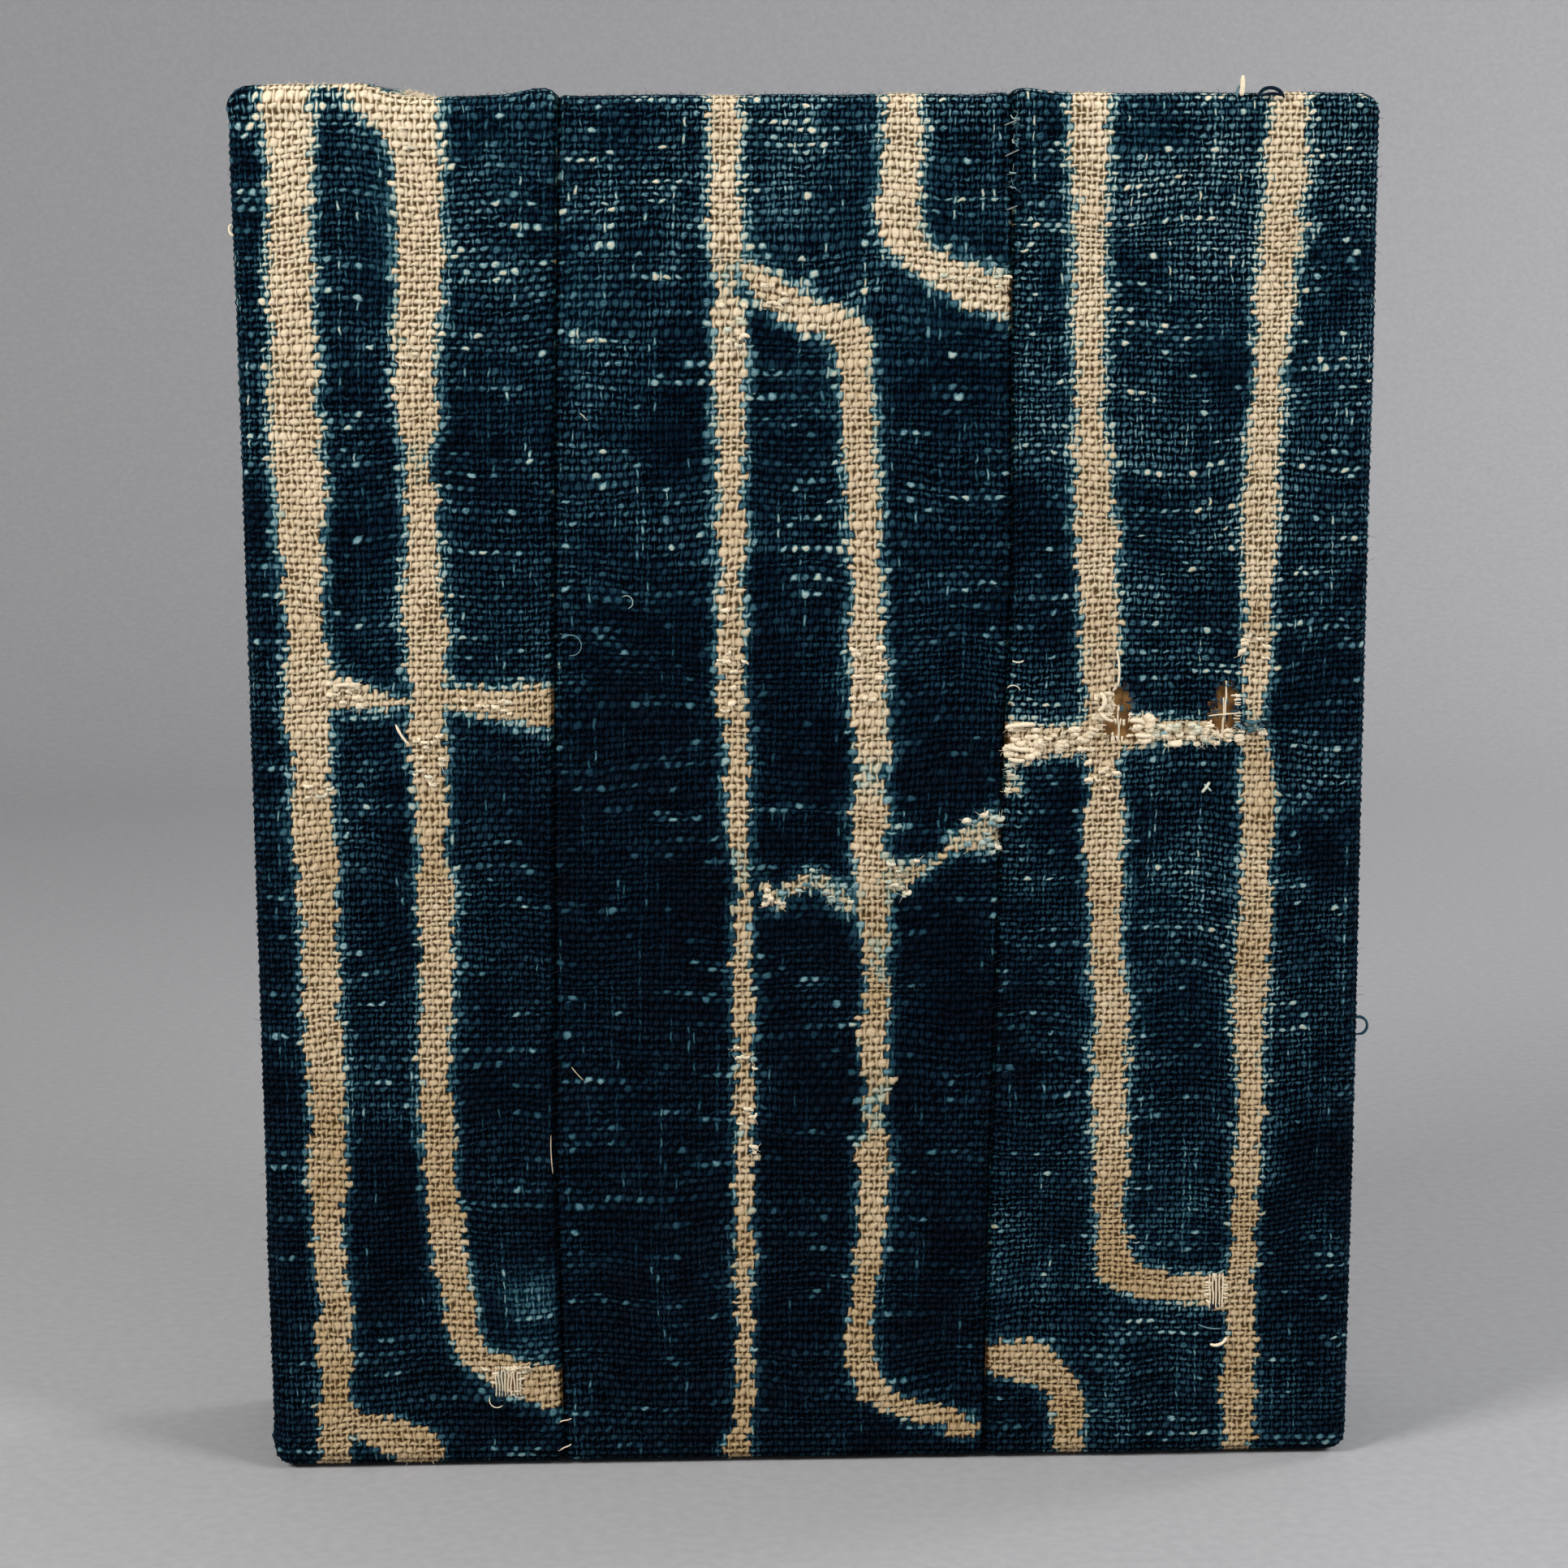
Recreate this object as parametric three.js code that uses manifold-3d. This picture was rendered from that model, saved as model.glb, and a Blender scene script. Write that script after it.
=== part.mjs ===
// An ndop cloth on its mounting panel: three narrow strips of handspun cotton, sewn edge to edge, stretched over the
// face of a wooden panel and turned over all four of its edges onto its back. The panel stands on its lower edge.
// Millimetres, +X to the right, +Y to the back, +Z up. The origin is the middle of the footprint, on the surface
// that the panel stands on.

import * as THREE from "three";
import Module from "manifold-3d";

const wasm = await Module();
wasm.setup();

// Driving dimensions
const PANEL_WIDTH = 203.2;
const PANEL_HEIGHT = 254.0;
const PANEL_DEPTH = 38.1;
const EDGE_RADIUS = 2.0;
const FACE_THICKNESS = 4.0;
const BAR_WIDTH = 22.0;
const PIECE_GAP = 0.3;
const CLOTH_THICKNESS = 1.5;
const FLAP_WIDTH = 14.0;

// The cloth's grid: facets on each half of a rounded edge, and cells along each stretch
const EDGE_STEPS = 2;
const DEPTH_CELLS = 5;
const MIDDLE_ROWS = 17;
const SIDE_STRIP_COLUMNS = 8;
const MIDDLE_STRIP_COLUMNS = 9;
const SEAM_LINES = [0, 0.6, 1.8, 4.5];

// Where two strips are sewn together, across the front, by height above the panel's foot
const LEFT_SEAM = [
  { height: 0, x: -47.5 },
  { height: 60, x: -48.4 },
  { height: 120, x: -47.6 },
  { height: 190, x: -46.3 },
  { height: 257, x: -44.5 },
];
const RIGHT_SEAM = [
  { height: 0, x: 32.8 },
  { height: 60, x: 33.8 },
  { height: 130, x: 35.6 },
  { height: 170, x: 37.0 },
  { height: 257, x: 36.6 },
];

// A strip's sewn edge rolls down towards the seam, and the left strip's edge stands a little proud
const SEAM_ROLL = { depth: 0.7, width: 2.4 };
const PROUD_EDGE = { rise: 0.5, width: 6.0 };

// Soft folds: a middle, how far each spreads along the three axes, its lean (x for each millimetre of height) and
// how far the cloth lifts off the panel there
const SOFT_FOLDS = [
  { x: -92, y: -19, z: 248, wide: 7, deep: 9, tall: 13, lean: 0.0, rise: 0.6 },
  { x: -73, y: -19, z: 250, wide: 8, deep: 9, tall: 11, lean: -0.9, rise: 0.8 },
  { x: -55, y: -19, z: 250, wide: 7, deep: 9, tall: 12, lean: 0.1, rise: 0.5 },
  { x: -27, y: -19, z: 251, wide: 9, deep: 9, tall: 9, lean: 0.0, rise: 0.4 },
  { x: -3, y: -19, z: 252, wide: 8, deep: 9, tall: 9, lean: -0.2, rise: 0.4 },
  { x: 16, y: -19, z: 250, wide: 8, deep: 9, tall: 11, lean: 0.2, rise: 0.5 },
  { x: 50, y: -19, z: 251, wide: 8, deep: 9, tall: 11, lean: 0.0, rise: 0.5 },
  { x: 69, y: -19, z: 251, wide: 8, deep: 9, tall: 10, lean: 0.0, rise: 0.4 },
  { x: 88, y: -19, z: 249, wide: 7, deep: 9, tall: 12, lean: 0.0, rise: 0.5 },
  { x: 59, y: -19, z: 18, wide: 6, deep: 9, tall: 19, lean: 0.0, rise: 0.7 },
  { x: 73, y: -19, z: 16, wide: 6, deep: 9, tall: 17, lean: 0.1, rise: 0.6 },
  { x: -88, y: -19, z: 14, wide: 8, deep: 9, tall: 15, lean: 0.0, rise: 0.5 },
  { x: -48, y: -17, z: 257, wide: 4, deep: 15, tall: 6, lean: 0.0, rise: 1.0 },
  { x: 39, y: -17, z: 257, wide: 5, deep: 15, tall: 6, lean: 0.0, rise: 0.9 },
  { x: -102, y: 0, z: 242, wide: 9, deep: 22, tall: 16, lean: 0.0, rise: 0.4 },
  { x: -102, y: 0, z: 40, wide: 9, deep: 22, tall: 18, lean: 0.0, rise: 0.3 },
  { x: 102, y: 0, z: 70, wide: 9, deep: 22, tall: 38, lean: 0.0, rise: 0.4 },
  { x: 102, y: 0, z: 208, wide: 9, deep: 22, tall: 20, lean: 0.0, rise: 0.3 },
];

// The spare cloth of a corner. At the top left it is tucked in under the top turn-over, which it raises, and at the
// other corners it is folded flat on the side as a three-cornered ear.
const TUCKED_CORNER = { rise: 2.0, level: 21.0, slope: 9.0, spread: 8.0 };
const EAR = { rise: 1.2, sink: 0.6, reach: 33.0, bevel: 0.5, inset: 3.0 };
const EAR_CORNERS = [
  { side: -1, end: -1 },
  { side: 1, end: -1 },
  { side: 1, end: 1 },
];

// Worn holes in the right strip, where the wood shows
const WORN_HOLES = [
  { x: 57.0, z: 143.6, width: 4.4, height: 4.6, skew: 0.5 },
  { x: 76.2, z: 143.4, width: 5.0, height: 5.0, skew: -0.4 },
];

const INNER_RADIUS = EDGE_RADIUS + PIECE_GAP;
const OUTER_RADIUS = INNER_RADIUS + CLOTH_THICKNESS;
const CLOTH_OFFSET = PIECE_GAP + CLOTH_THICKNESS;
const CORE = {
  x: PANEL_WIDTH / 2 - EDGE_RADIUS,
  y: PANEL_DEPTH / 2 - EDGE_RADIUS,
  z: PANEL_HEIGHT / 2 - EDGE_RADIUS,
};
const CENTRE_HEIGHT = CLOTH_OFFSET + PANEL_HEIGHT / 2;
const OUTER_HALF_WIDTH = PANEL_WIDTH / 2 + CLOTH_OFFSET;
const FLAP_LINE = { x: PANEL_WIDTH / 2 - FLAP_WIDTH, z: PANEL_HEIGHT / 2 - FLAP_WIDTH };

const indigoCloth = new THREE.MeshStandardMaterial({ color: 0x12293d, roughness: 0.95, metalness: 0 });
const paleWood = new THREE.MeshStandardMaterial({ color: 0xb98a55, roughness: 0.7, metalness: 0 });
const brownBoard = new THREE.MeshStandardMaterial({ color: 0x8c5a2b, roughness: 0.75, metalness: 0 });

function smoothStep(value) {
  const t = THREE.MathUtils.clamp(value, 0, 1);
  return t * t * (3 - 2 * t);
}

function seamX(seam, height) {
  const next = seam.findIndex((row) => row.height >= height);
  if (next === 0) return seam[0].x;
  if (next < 0) return seam[seam.length - 1].x;
  const low = seam[next - 1];
  const high = seam[next];
  return THREE.MathUtils.mapLinear(height, low.height, high.height, low.x, high.x);
}

// A grid line on one axis: at(height) is its place on the panel's core, and turn runs from 0 there to 1 or -1 half
// way round a rounded edge
function fixedLine(place) {
  return { at: () => place, turn: 0 };
}

function edgeLines(half, side) {
  const lines = [];
  for (let step = EDGE_STEPS; step > 0; step -= 1) {
    lines.push({ at: () => side * half, turn: (side * step) / EDGE_STEPS });
  }
  return side < 0 ? lines : lines.reverse();
}

function evenPlaces(start, end, cells) {
  return Array.from({ length: cells + 1 }, (_, index) => THREE.MathUtils.lerp(start, end, index / cells));
}

function fullLines(half, places) {
  return [...edgeLines(half, -1), ...places.map(fixedLine), ...edgeLines(half, 1)];
}

// Lines between two edges that may lean with height, closer together beside a seam
function slantedLines(left, right, cells, seamLeft, seamRight) {
  const leftInsets = seamLeft ? SEAM_LINES : [0];
  const rightInsets = seamRight ? [...SEAM_LINES].reverse() : [0];
  const leftInset = leftInsets[leftInsets.length - 1];
  const rightInset = rightInsets[0];
  const lines = leftInsets.map((inset) => ({ at: (height) => left(height) + inset, turn: 0 }));
  for (let cell = 1; cell < cells; cell += 1) {
    const share = cell / cells;
    const at = (height) => THREE.MathUtils.lerp(left(height) + leftInset, right(height) - rightInset, share);
    lines.push({ at, turn: 0 });
  }
  lines.push(...rightInsets.map((inset) => ({ at: (height) => right(height) - inset, turn: 0 })));
  return lines;
}

// The place on the panel's rounded box of a corner of the grid: its core point and its outward direction
function boxPoint(x, y, z) {
  const coreZ = z.at(0);
  const core = new THREE.Vector3(x.at(coreZ + CENTRE_HEIGHT), y.at(0), coreZ);
  const tilt = (line) => Math.tan((line.turn * Math.PI) / 4);
  const outward = new THREE.Vector3(tilt(x), tilt(y), tilt(z)).normalize();
  return { core, outward };
}

// The cells of the box's six sides that are kept, as quads of grid corners that face out
function boxCells(lines, keeps) {
  const axes = ["x", "y", "z"];
  const cells = [];
  axes.forEach((axis, number) => {
    const across = axes[(number + 1) % 3];
    const along = axes[(number + 2) % 3];
    for (const side of [-1, 1]) {
      const fixed = side < 0 ? 0 : lines[axis].length - 1;
      if (lines[axis][fixed].turn !== side) continue;
      for (let a = 0; a < lines[across].length - 1; a += 1) {
        for (let b = 0; b < lines[along].length - 1; b += 1) {
          const corner = (da, db) => ({ [axis]: fixed, [across]: a + da, [along]: b + db });
          const quad = [corner(0, 0), corner(1, 0), corner(1, 1), corner(0, 1)];
          if (side < 0) quad.reverse();
          if (keeps(axis, side, quad)) cells.push(quad);
        }
      }
    }
  });
  return cells;
}

// Turns cells into a closed mesh: one skin where the cells close on themselves, or an outer and an inner skin with
// walls along the borders of an open sheet
function skinMesh(lines, cells, skins) {
  const numbers = new Map();
  const points = [];
  const numberOf = (corner) => {
    const key = `${corner.x} ${corner.y} ${corner.z}`;
    if (!numbers.has(key)) {
      numbers.set(key, points.length);
      points.push(boxPoint(lines.x[corner.x], lines.y[corner.y], lines.z[corner.z]));
    }
    return numbers.get(key);
  };
  const quads = cells.map((quad) => quad.map(numberOf));
  const count = points.length;
  const triangles = [];
  const addQuad = (a, b, c, d) => triangles.push(a, b, c, a, c, d);
  const borders = new Set();
  for (const [a, b, c, d] of quads) {
    addQuad(a, b, c, d);
    if (skins.length > 1) addQuad(a + count, d + count, c + count, b + count);
    for (const [from, to] of [[a, b], [b, c], [c, d], [d, a]]) {
      if (!borders.delete(`${to} ${from}`)) borders.add(`${from} ${to}`);
    }
  }
  for (const border of borders) {
    const [from, to] = border.split(" ").map(Number);
    addQuad(to, from, from + count, to + count);
  }
  const positions = skins.flatMap((skin) => points.flatMap((point) => skin(point).toArray()));
  const geometry = new THREE.BufferGeometry();
  geometry.setAttribute("position", new THREE.Float32BufferAttribute(positions, 3));
  geometry.setIndex(triangles);
  return geometry;
}

function toManifold(geometry) {
  const position = geometry.getAttribute("position");
  const places = new Map();
  const vertices = [];
  const merged = [];
  for (let index = 0; index < position.count; index += 1) {
    const point = [position.getX(index), position.getY(index), position.getZ(index)];
    const key = point.map((value) => value.toFixed(4)).join(" ");
    if (!places.has(key)) {
      places.set(key, vertices.length / 3);
      vertices.push(...point);
    }
    merged.push(places.get(key));
  }
  const corners = geometry.index ? [...geometry.index.array] : merged.map((_, index) => index);
  const triVerts = new Uint32Array(corners.map((corner) => merged[corner]));
  return new wasm.Manifold(new wasm.Mesh({ numProp: 3, vertProperties: new Float32Array(vertices), triVerts }));
}

function fromManifold(solid) {
  const mesh = solid.getMesh();
  const geometry = new THREE.BufferGeometry();
  geometry.setAttribute("position", new THREE.Float32BufferAttribute(Array.from(mesh.vertProperties), 3));
  geometry.setIndex(Array.from(mesh.triVerts));
  return geometry;
}

function softRise(place) {
  return SOFT_FOLDS.reduce((sum, fold) => {
    const across = (place.x - fold.x - fold.lean * (place.z - fold.z)) / fold.wide;
    const back = (place.y - fold.y) / fold.deep;
    const up = (place.z - fold.z) / fold.tall;
    return sum + fold.rise * Math.exp(-(across * across + back * back + up * up));
  }, 0);
}

// How far the tucked corner raises the top turn-over, wider towards the back
function tuckedRise(place, outward) {
  const backShare = (place.y + PANEL_DEPTH / 2) / PANEL_DEPTH;
  const level = TUCKED_CORNER.level + TUCKED_CORNER.spread * backShare;
  const inward = place.x + PANEL_WIDTH / 2;
  const share = 1 - smoothStep((inward - level) / TUCKED_CORNER.slope);
  return TUCKED_CORNER.rise * share * Math.max(outward.z, 0);
}

// The two skins of a strip of cloth. Its underside and its back stay flat, because it rests on them.
function clothSkins(strip) {
  const shape = ({ core, outward }) => {
    const place = core.clone().addScaledVector(outward, INNER_RADIUS);
    place.z += CENTRE_HEIGHT;
    const height = core.z + CENTRE_HEIGHT;
    const flatness = Math.min(1 - Math.max(-outward.z, 0), 1 - Math.max(outward.y, 0));
    let lift = softRise(place) * flatness;
    let roll = 0;
    for (const seam of strip.seams) {
      const distance = Math.abs(core.x - seam.at(height));
      if (seam.proud) lift += PROUD_EDGE.rise * flatness * Math.exp(-((distance / PROUD_EDGE.width) ** 2));
      roll += SEAM_ROLL.depth * Math.max(0, 1 - distance / SEAM_ROLL.width) ** 2;
    }
    return { lift, pile: strip.tucked ? tuckedRise(place, outward) - roll : -roll };
  };
  const outer = (point) => {
    const { lift, pile } = shape(point);
    return offset(point, OUTER_RADIUS + lift + pile);
  };
  const inner = (point) => offset(point, INNER_RADIUS + shape(point).lift);
  return [outer, inner];
}

function offset({ core, outward }, distance) {
  const place = core.clone().addScaledVector(outward, distance);
  place.z += CENTRE_HEIGHT;
  return place;
}

// Rows are closer together near the foot and the top, where the corners are folded
function rowPlaces() {
  const cornerRows = evenPlaces(0, 2 * CORE.y, DEPTH_CELLS);
  const low = cornerRows.map((place) => place - CORE.z);
  const high = cornerRows.map((place) => CORE.z - place).reverse();
  const middle = evenPlaces(low[DEPTH_CELLS], high[0], MIDDLE_ROWS).slice(1, -1);
  const flapRows = [-FLAP_LINE.z, FLAP_LINE.z];
  const rows = [...low, ...middle, ...high];
  for (const flapRow of flapRows) {
    const nearest = rows.reduce((best, row) => (Math.abs(row - flapRow) < Math.abs(best - flapRow) ? row : best));
    rows[rows.indexOf(nearest)] = flapRow;
  }
  return rows;
}

// On the back only the turned-over flaps are kept, and on the other sides the whole strip
function coversBack(lines, quad) {
  const heights = quad.map((corner) => Math.abs(lines.z[corner.z].at(0)));
  const reaches = quad.map((corner) => Math.abs(lines.x[corner.x].at(CENTRE_HEIGHT)));
  return Math.min(...heights) >= FLAP_LINE.z - 0.01 || Math.min(...reaches) >= FLAP_LINE.x - 0.01;
}

function clothStrip(strip) {
  const lines = {
    x: strip.columns,
    y: fullLines(CORE.y, evenPlaces(-CORE.y, CORE.y, DEPTH_CELLS)),
    z: fullLines(CORE.z, rowPlaces()),
  };
  const keeps = (axis, side, quad) => axis !== "y" || side < 0 || coversBack(lines, quad);
  return skinMesh(lines, boxCells(lines, keeps), clothSkins(strip));
}

// A three-cornered ear of folded cloth, flat on a side of the panel
function cornerEar({ side, end }) {
  const edge = CENTRE_HEIGHT + end * CENTRE_HEIGHT;
  const base = edge - end * EAR.inset;
  const outline = new THREE.Shape([
    new THREE.Vector2(-CORE.y, base),
    new THREE.Vector2(PANEL_DEPTH / 2, base),
    new THREE.Vector2(PANEL_DEPTH / 2, base - end * EAR.reach),
  ]);
  const thickness = EAR.rise + EAR.sink - 2 * EAR.bevel;
  const geometry = new THREE.ExtrudeGeometry(outline, {
    depth: thickness,
    bevelThickness: EAR.bevel,
    bevelSize: EAR.bevel,
    bevelOffset: -EAR.bevel,
    bevelSegments: 1,
    curveSegments: 1,
  });
  const face = side < 0 ? -OUTER_HALF_WIDTH - EAR.rise : OUTER_HALF_WIDTH - EAR.sink;
  const turn = new THREE.Matrix4().makeBasis(
    new THREE.Vector3(0, 1, 0),
    new THREE.Vector3(0, 0, 1),
    new THREE.Vector3(1, 0, 0),
  );
  geometry.applyMatrix4(turn);
  geometry.translate(face + EAR.bevel, 0, 0);
  return toManifold(geometry);
}

function wornHole({ x, z, width, height, skew }) {
  const outline = new THREE.Shape([
    new THREE.Vector2(-width / 2, -height / 3),
    new THREE.Vector2(-width / 6, -height / 2),
    new THREE.Vector2(width / 2, -height / 2 + skew),
    new THREE.Vector2(width / 2 - skew, height / 3),
    new THREE.Vector2(width / 5, height / 2),
    new THREE.Vector2(-width / 2 + skew, height / 2),
  ]);
  const depth = CLOTH_THICKNESS * 3;
  const geometry = new THREE.ExtrudeGeometry(outline, { depth, bevelEnabled: false });
  geometry.rotateX(Math.PI / 2);
  geometry.translate(x, -PANEL_DEPTH / 2, z);
  return toManifold(geometry);
}

// The panel as one rounded block, from which its face board and its bars are cut
function panelBlank() {
  const lines = {
    x: fullLines(CORE.x, [-CORE.x, CORE.x]),
    y: fullLines(CORE.y, [-CORE.y, CORE.y]),
    z: fullLines(CORE.z, [-CORE.z, CORE.z]),
  };
  const skin = (point) => offset(point, EDGE_RADIUS);
  return toManifold(skinMesh(lines, boxCells(lines, () => true), [skin]));
}

function cutFromBlank(low, high) {
  const size = new THREE.Vector3().subVectors(high, low);
  const middle = new THREE.Vector3().addVectors(low, high).multiplyScalar(0.5);
  const block = new THREE.BoxGeometry(size.x, size.y, size.z);
  block.translate(middle.x, middle.y, middle.z);
  return fromManifold(panelBlank().intersect(toManifold(block)));
}

function namedMesh(name, geometry, material) {
  const mesh = new THREE.Mesh(geometry, material);
  mesh.name = name;
  return mesh;
}

function woodenPanel() {
  const group = new THREE.Group();
  const beyond = 5;
  const side = PANEL_WIDTH / 2 + beyond;
  const foot = CLOTH_OFFSET - beyond;
  const head = CLOTH_OFFSET + PANEL_HEIGHT + beyond;
  const front = -PANEL_DEPTH / 2 - beyond;
  const back = PANEL_DEPTH / 2 + beyond;
  const faceBack = -PANEL_DEPTH / 2 + FACE_THICKNESS;
  const barFront = faceBack + PIECE_GAP;
  const uprightInside = PANEL_WIDTH / 2 - BAR_WIDTH;
  const railEnd = uprightInside - PIECE_GAP;
  const footRailTop = CLOTH_OFFSET + BAR_WIDTH;
  const headRailFoot = CLOTH_OFFSET + PANEL_HEIGHT - BAR_WIDTH;
  const pieces = [
    { name: "panel_face", low: [-side, front, foot], high: [side, faceBack, head], material: brownBoard },
    { name: "bar_left", low: [-side, barFront, foot], high: [-uprightInside, back, head], material: paleWood },
    { name: "bar_right", low: [uprightInside, barFront, foot], high: [side, back, head], material: paleWood },
    { name: "bar_bottom", low: [-railEnd, barFront, foot], high: [railEnd, back, footRailTop], material: paleWood },
    { name: "bar_top", low: [-railEnd, barFront, headRailFoot], high: [railEnd, back, head], material: paleWood },
  ];
  for (const { name, low, high, material } of pieces) {
    const geometry = cutFromBlank(new THREE.Vector3(...low), new THREE.Vector3(...high));
    group.add(namedMesh(name, geometry, material));
  }
  return group;
}

function clothStrips() {
  const halfGap = PIECE_GAP / 2;
  const leftSeam = (height) => seamX(LEFT_SEAM, height);
  const rightSeam = (height) => seamX(RIGHT_SEAM, height);
  const leftFlapEdge = fixedLine(-FLAP_LINE.x);
  const rightFlapEdge = fixedLine(FLAP_LINE.x);
  const strips = [
    {
      name: "strip_left",
      columns: [
        ...edgeLines(CORE.x, -1),
        fixedLine(-CORE.x),
        fixedLine((-CORE.x - FLAP_LINE.x) / 2),
        ...slantedLines(leftFlapEdge.at, (height) => leftSeam(height) - halfGap, SIDE_STRIP_COLUMNS, false, true),
      ],
      seams: [{ at: (height) => leftSeam(height) - halfGap, proud: true }],
      tucked: true,
    },
    {
      name: "strip_middle",
      columns: slantedLines(
        (height) => leftSeam(height) + halfGap,
        (height) => rightSeam(height) - halfGap,
        MIDDLE_STRIP_COLUMNS,
        true,
        true,
      ),
      seams: [
        { at: (height) => leftSeam(height) + halfGap, proud: false },
        { at: (height) => rightSeam(height) - halfGap, proud: false },
      ],
      tucked: false,
    },
    {
      name: "strip_right",
      columns: [
        ...slantedLines((height) => rightSeam(height) + halfGap, rightFlapEdge.at, SIDE_STRIP_COLUMNS, true, false),
        fixedLine((CORE.x + FLAP_LINE.x) / 2),
        fixedLine(CORE.x),
        ...edgeLines(CORE.x, 1),
      ],
      seams: [{ at: (height) => rightSeam(height) + halfGap, proud: false }],
      tucked: false,
    },
  ];
  const group = new THREE.Group();
  for (const strip of strips) {
    let solid = toManifold(clothStrip(strip));
    const side = { strip_left: -1, strip_right: 1 }[strip.name];
    for (const corner of EAR_CORNERS.filter((row) => row.side === side)) solid = solid.add(cornerEar(corner));
    if (side === 1) {
      for (const hole of WORN_HOLES) solid = solid.subtract(wornHole(hole));
    }
    group.add(namedMesh(strip.name, fromManifold(solid), indigoCloth));
  }
  return group;
}

const mountedCloth = new THREE.Group();
mountedCloth.name = "mounted_ndop_cloth";
mountedCloth.add(woodenPanel(), clothStrips());

export default mountedCloth;
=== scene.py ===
import math

import bpy
import numpy as np
from mathutils import Matrix, Vector


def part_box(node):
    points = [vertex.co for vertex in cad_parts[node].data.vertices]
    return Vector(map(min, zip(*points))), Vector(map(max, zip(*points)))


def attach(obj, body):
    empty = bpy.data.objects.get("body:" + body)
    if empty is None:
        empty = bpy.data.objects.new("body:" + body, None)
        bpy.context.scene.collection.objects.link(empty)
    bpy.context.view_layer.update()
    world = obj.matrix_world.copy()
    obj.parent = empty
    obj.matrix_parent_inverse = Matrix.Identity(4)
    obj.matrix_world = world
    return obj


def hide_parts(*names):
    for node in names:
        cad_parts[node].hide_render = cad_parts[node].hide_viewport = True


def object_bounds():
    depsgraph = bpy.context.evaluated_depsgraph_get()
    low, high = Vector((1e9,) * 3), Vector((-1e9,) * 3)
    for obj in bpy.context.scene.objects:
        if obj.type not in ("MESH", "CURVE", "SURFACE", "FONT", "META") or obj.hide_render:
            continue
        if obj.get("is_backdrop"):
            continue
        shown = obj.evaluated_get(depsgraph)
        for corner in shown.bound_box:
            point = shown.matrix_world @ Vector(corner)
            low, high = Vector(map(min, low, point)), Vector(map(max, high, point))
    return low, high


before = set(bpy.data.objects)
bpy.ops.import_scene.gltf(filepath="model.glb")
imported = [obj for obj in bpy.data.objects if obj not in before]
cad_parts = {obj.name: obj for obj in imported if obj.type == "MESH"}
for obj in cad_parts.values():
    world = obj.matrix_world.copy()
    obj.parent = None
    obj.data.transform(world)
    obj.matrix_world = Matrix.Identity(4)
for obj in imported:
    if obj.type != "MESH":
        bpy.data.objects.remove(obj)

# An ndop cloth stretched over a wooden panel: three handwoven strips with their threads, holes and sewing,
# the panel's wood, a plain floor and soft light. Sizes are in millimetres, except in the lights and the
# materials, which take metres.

cad_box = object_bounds()
MM = 0.001
X, Y, Z = range(3)
FAR = 1e3

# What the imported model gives
panel_low, panel_high = (np.array(corner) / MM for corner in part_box("panel_face"))
bar_high = np.array(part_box("bar_left")[1]) / MM
FRONT_Y, BACK_Y = panel_low[Y], bar_high[Y]
PANEL_HALF_WIDTH = panel_high[X]
PANEL_FOOT, PANEL_TOP = panel_low[Z], panel_high[Z]

# Sizes shared with the solids
EDGE_RADIUS = 2.0
PIECE_GAP = 0.3
CLOTH_THICKNESS = 1.5
FLAP_WIDTH = 14.0
INNER_RADIUS = EDGE_RADIUS + PIECE_GAP
OUTER_RADIUS = INNER_RADIUS + CLOTH_THICKNESS
CLOTH_OFFSET = PIECE_GAP + CLOTH_THICKNESS
CORE_X = PANEL_HALF_WIDTH - EDGE_RADIUS
CORE_FRONT, CORE_BACK = FRONT_Y + EDGE_RADIUS, BACK_Y - EDGE_RADIUS
CORE_FOOT, CORE_TOP = PANEL_FOOT + EDGE_RADIUS, PANEL_TOP - EDGE_RADIUS

# Seams, as (height, x) of the line where two strips meet
LEFT_SEAM = [(0, -47.5), (60, -48.4), (120, -47.6), (190, -46.3), (257, -44.5)]
RIGHT_SEAM = [(0, 32.8), (60, 33.8), (130, 35.6), (170, 37.0), (257, 36.6)]

# Soft folds, with the columns x, y, z, wide, deep, tall, lean and rise
SOFT_FOLDS = [
    (-92, -19, 248, 7, 9, 13, 0.0, 0.6),
    (-73, -19, 250, 8, 9, 11, -0.9, 0.8),
    (-55, -19, 250, 7, 9, 12, 0.1, 0.5),
    (-27, -19, 251, 9, 9, 9, 0.0, 0.4),
    (-3, -19, 252, 8, 9, 9, -0.2, 0.4),
    (16, -19, 250, 8, 9, 11, 0.2, 0.5),
    (50, -19, 251, 8, 9, 11, 0.0, 0.5),
    (69, -19, 251, 8, 9, 10, 0.0, 0.4),
    (88, -19, 249, 7, 9, 12, 0.0, 0.5),
    (59, -19, 18, 4, 9, 19, 0.0, 1.0),
    (73, -19, 16, 4, 9, 17, 0.1, 0.9),
    (-88, -19, 14, 8, 9, 15, 0.0, 0.5),
    (-48, -17, 257, 4, 15, 6, 0.0, 1.0),
    (39, -17, 257, 5, 15, 6, 0.0, 0.9),
    (-102, 0, 242, 9, 22, 16, 0.0, 0.4),
    (-102, 0, 40, 9, 22, 18, 0.0, 0.3),
    (102, 0, 70, 9, 22, 38, 0.0, 0.4),
    (102, 0, 208, 9, 22, 20, 0.0, 0.3),
]

# Cloth tucked under itself along the left end of the top
TUCKED_RISE, TUCKED_LEVEL, TUCKED_SLOPE, TUCKED_SPREAD = 2.0, 21.0, 9.0, 8.0

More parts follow.
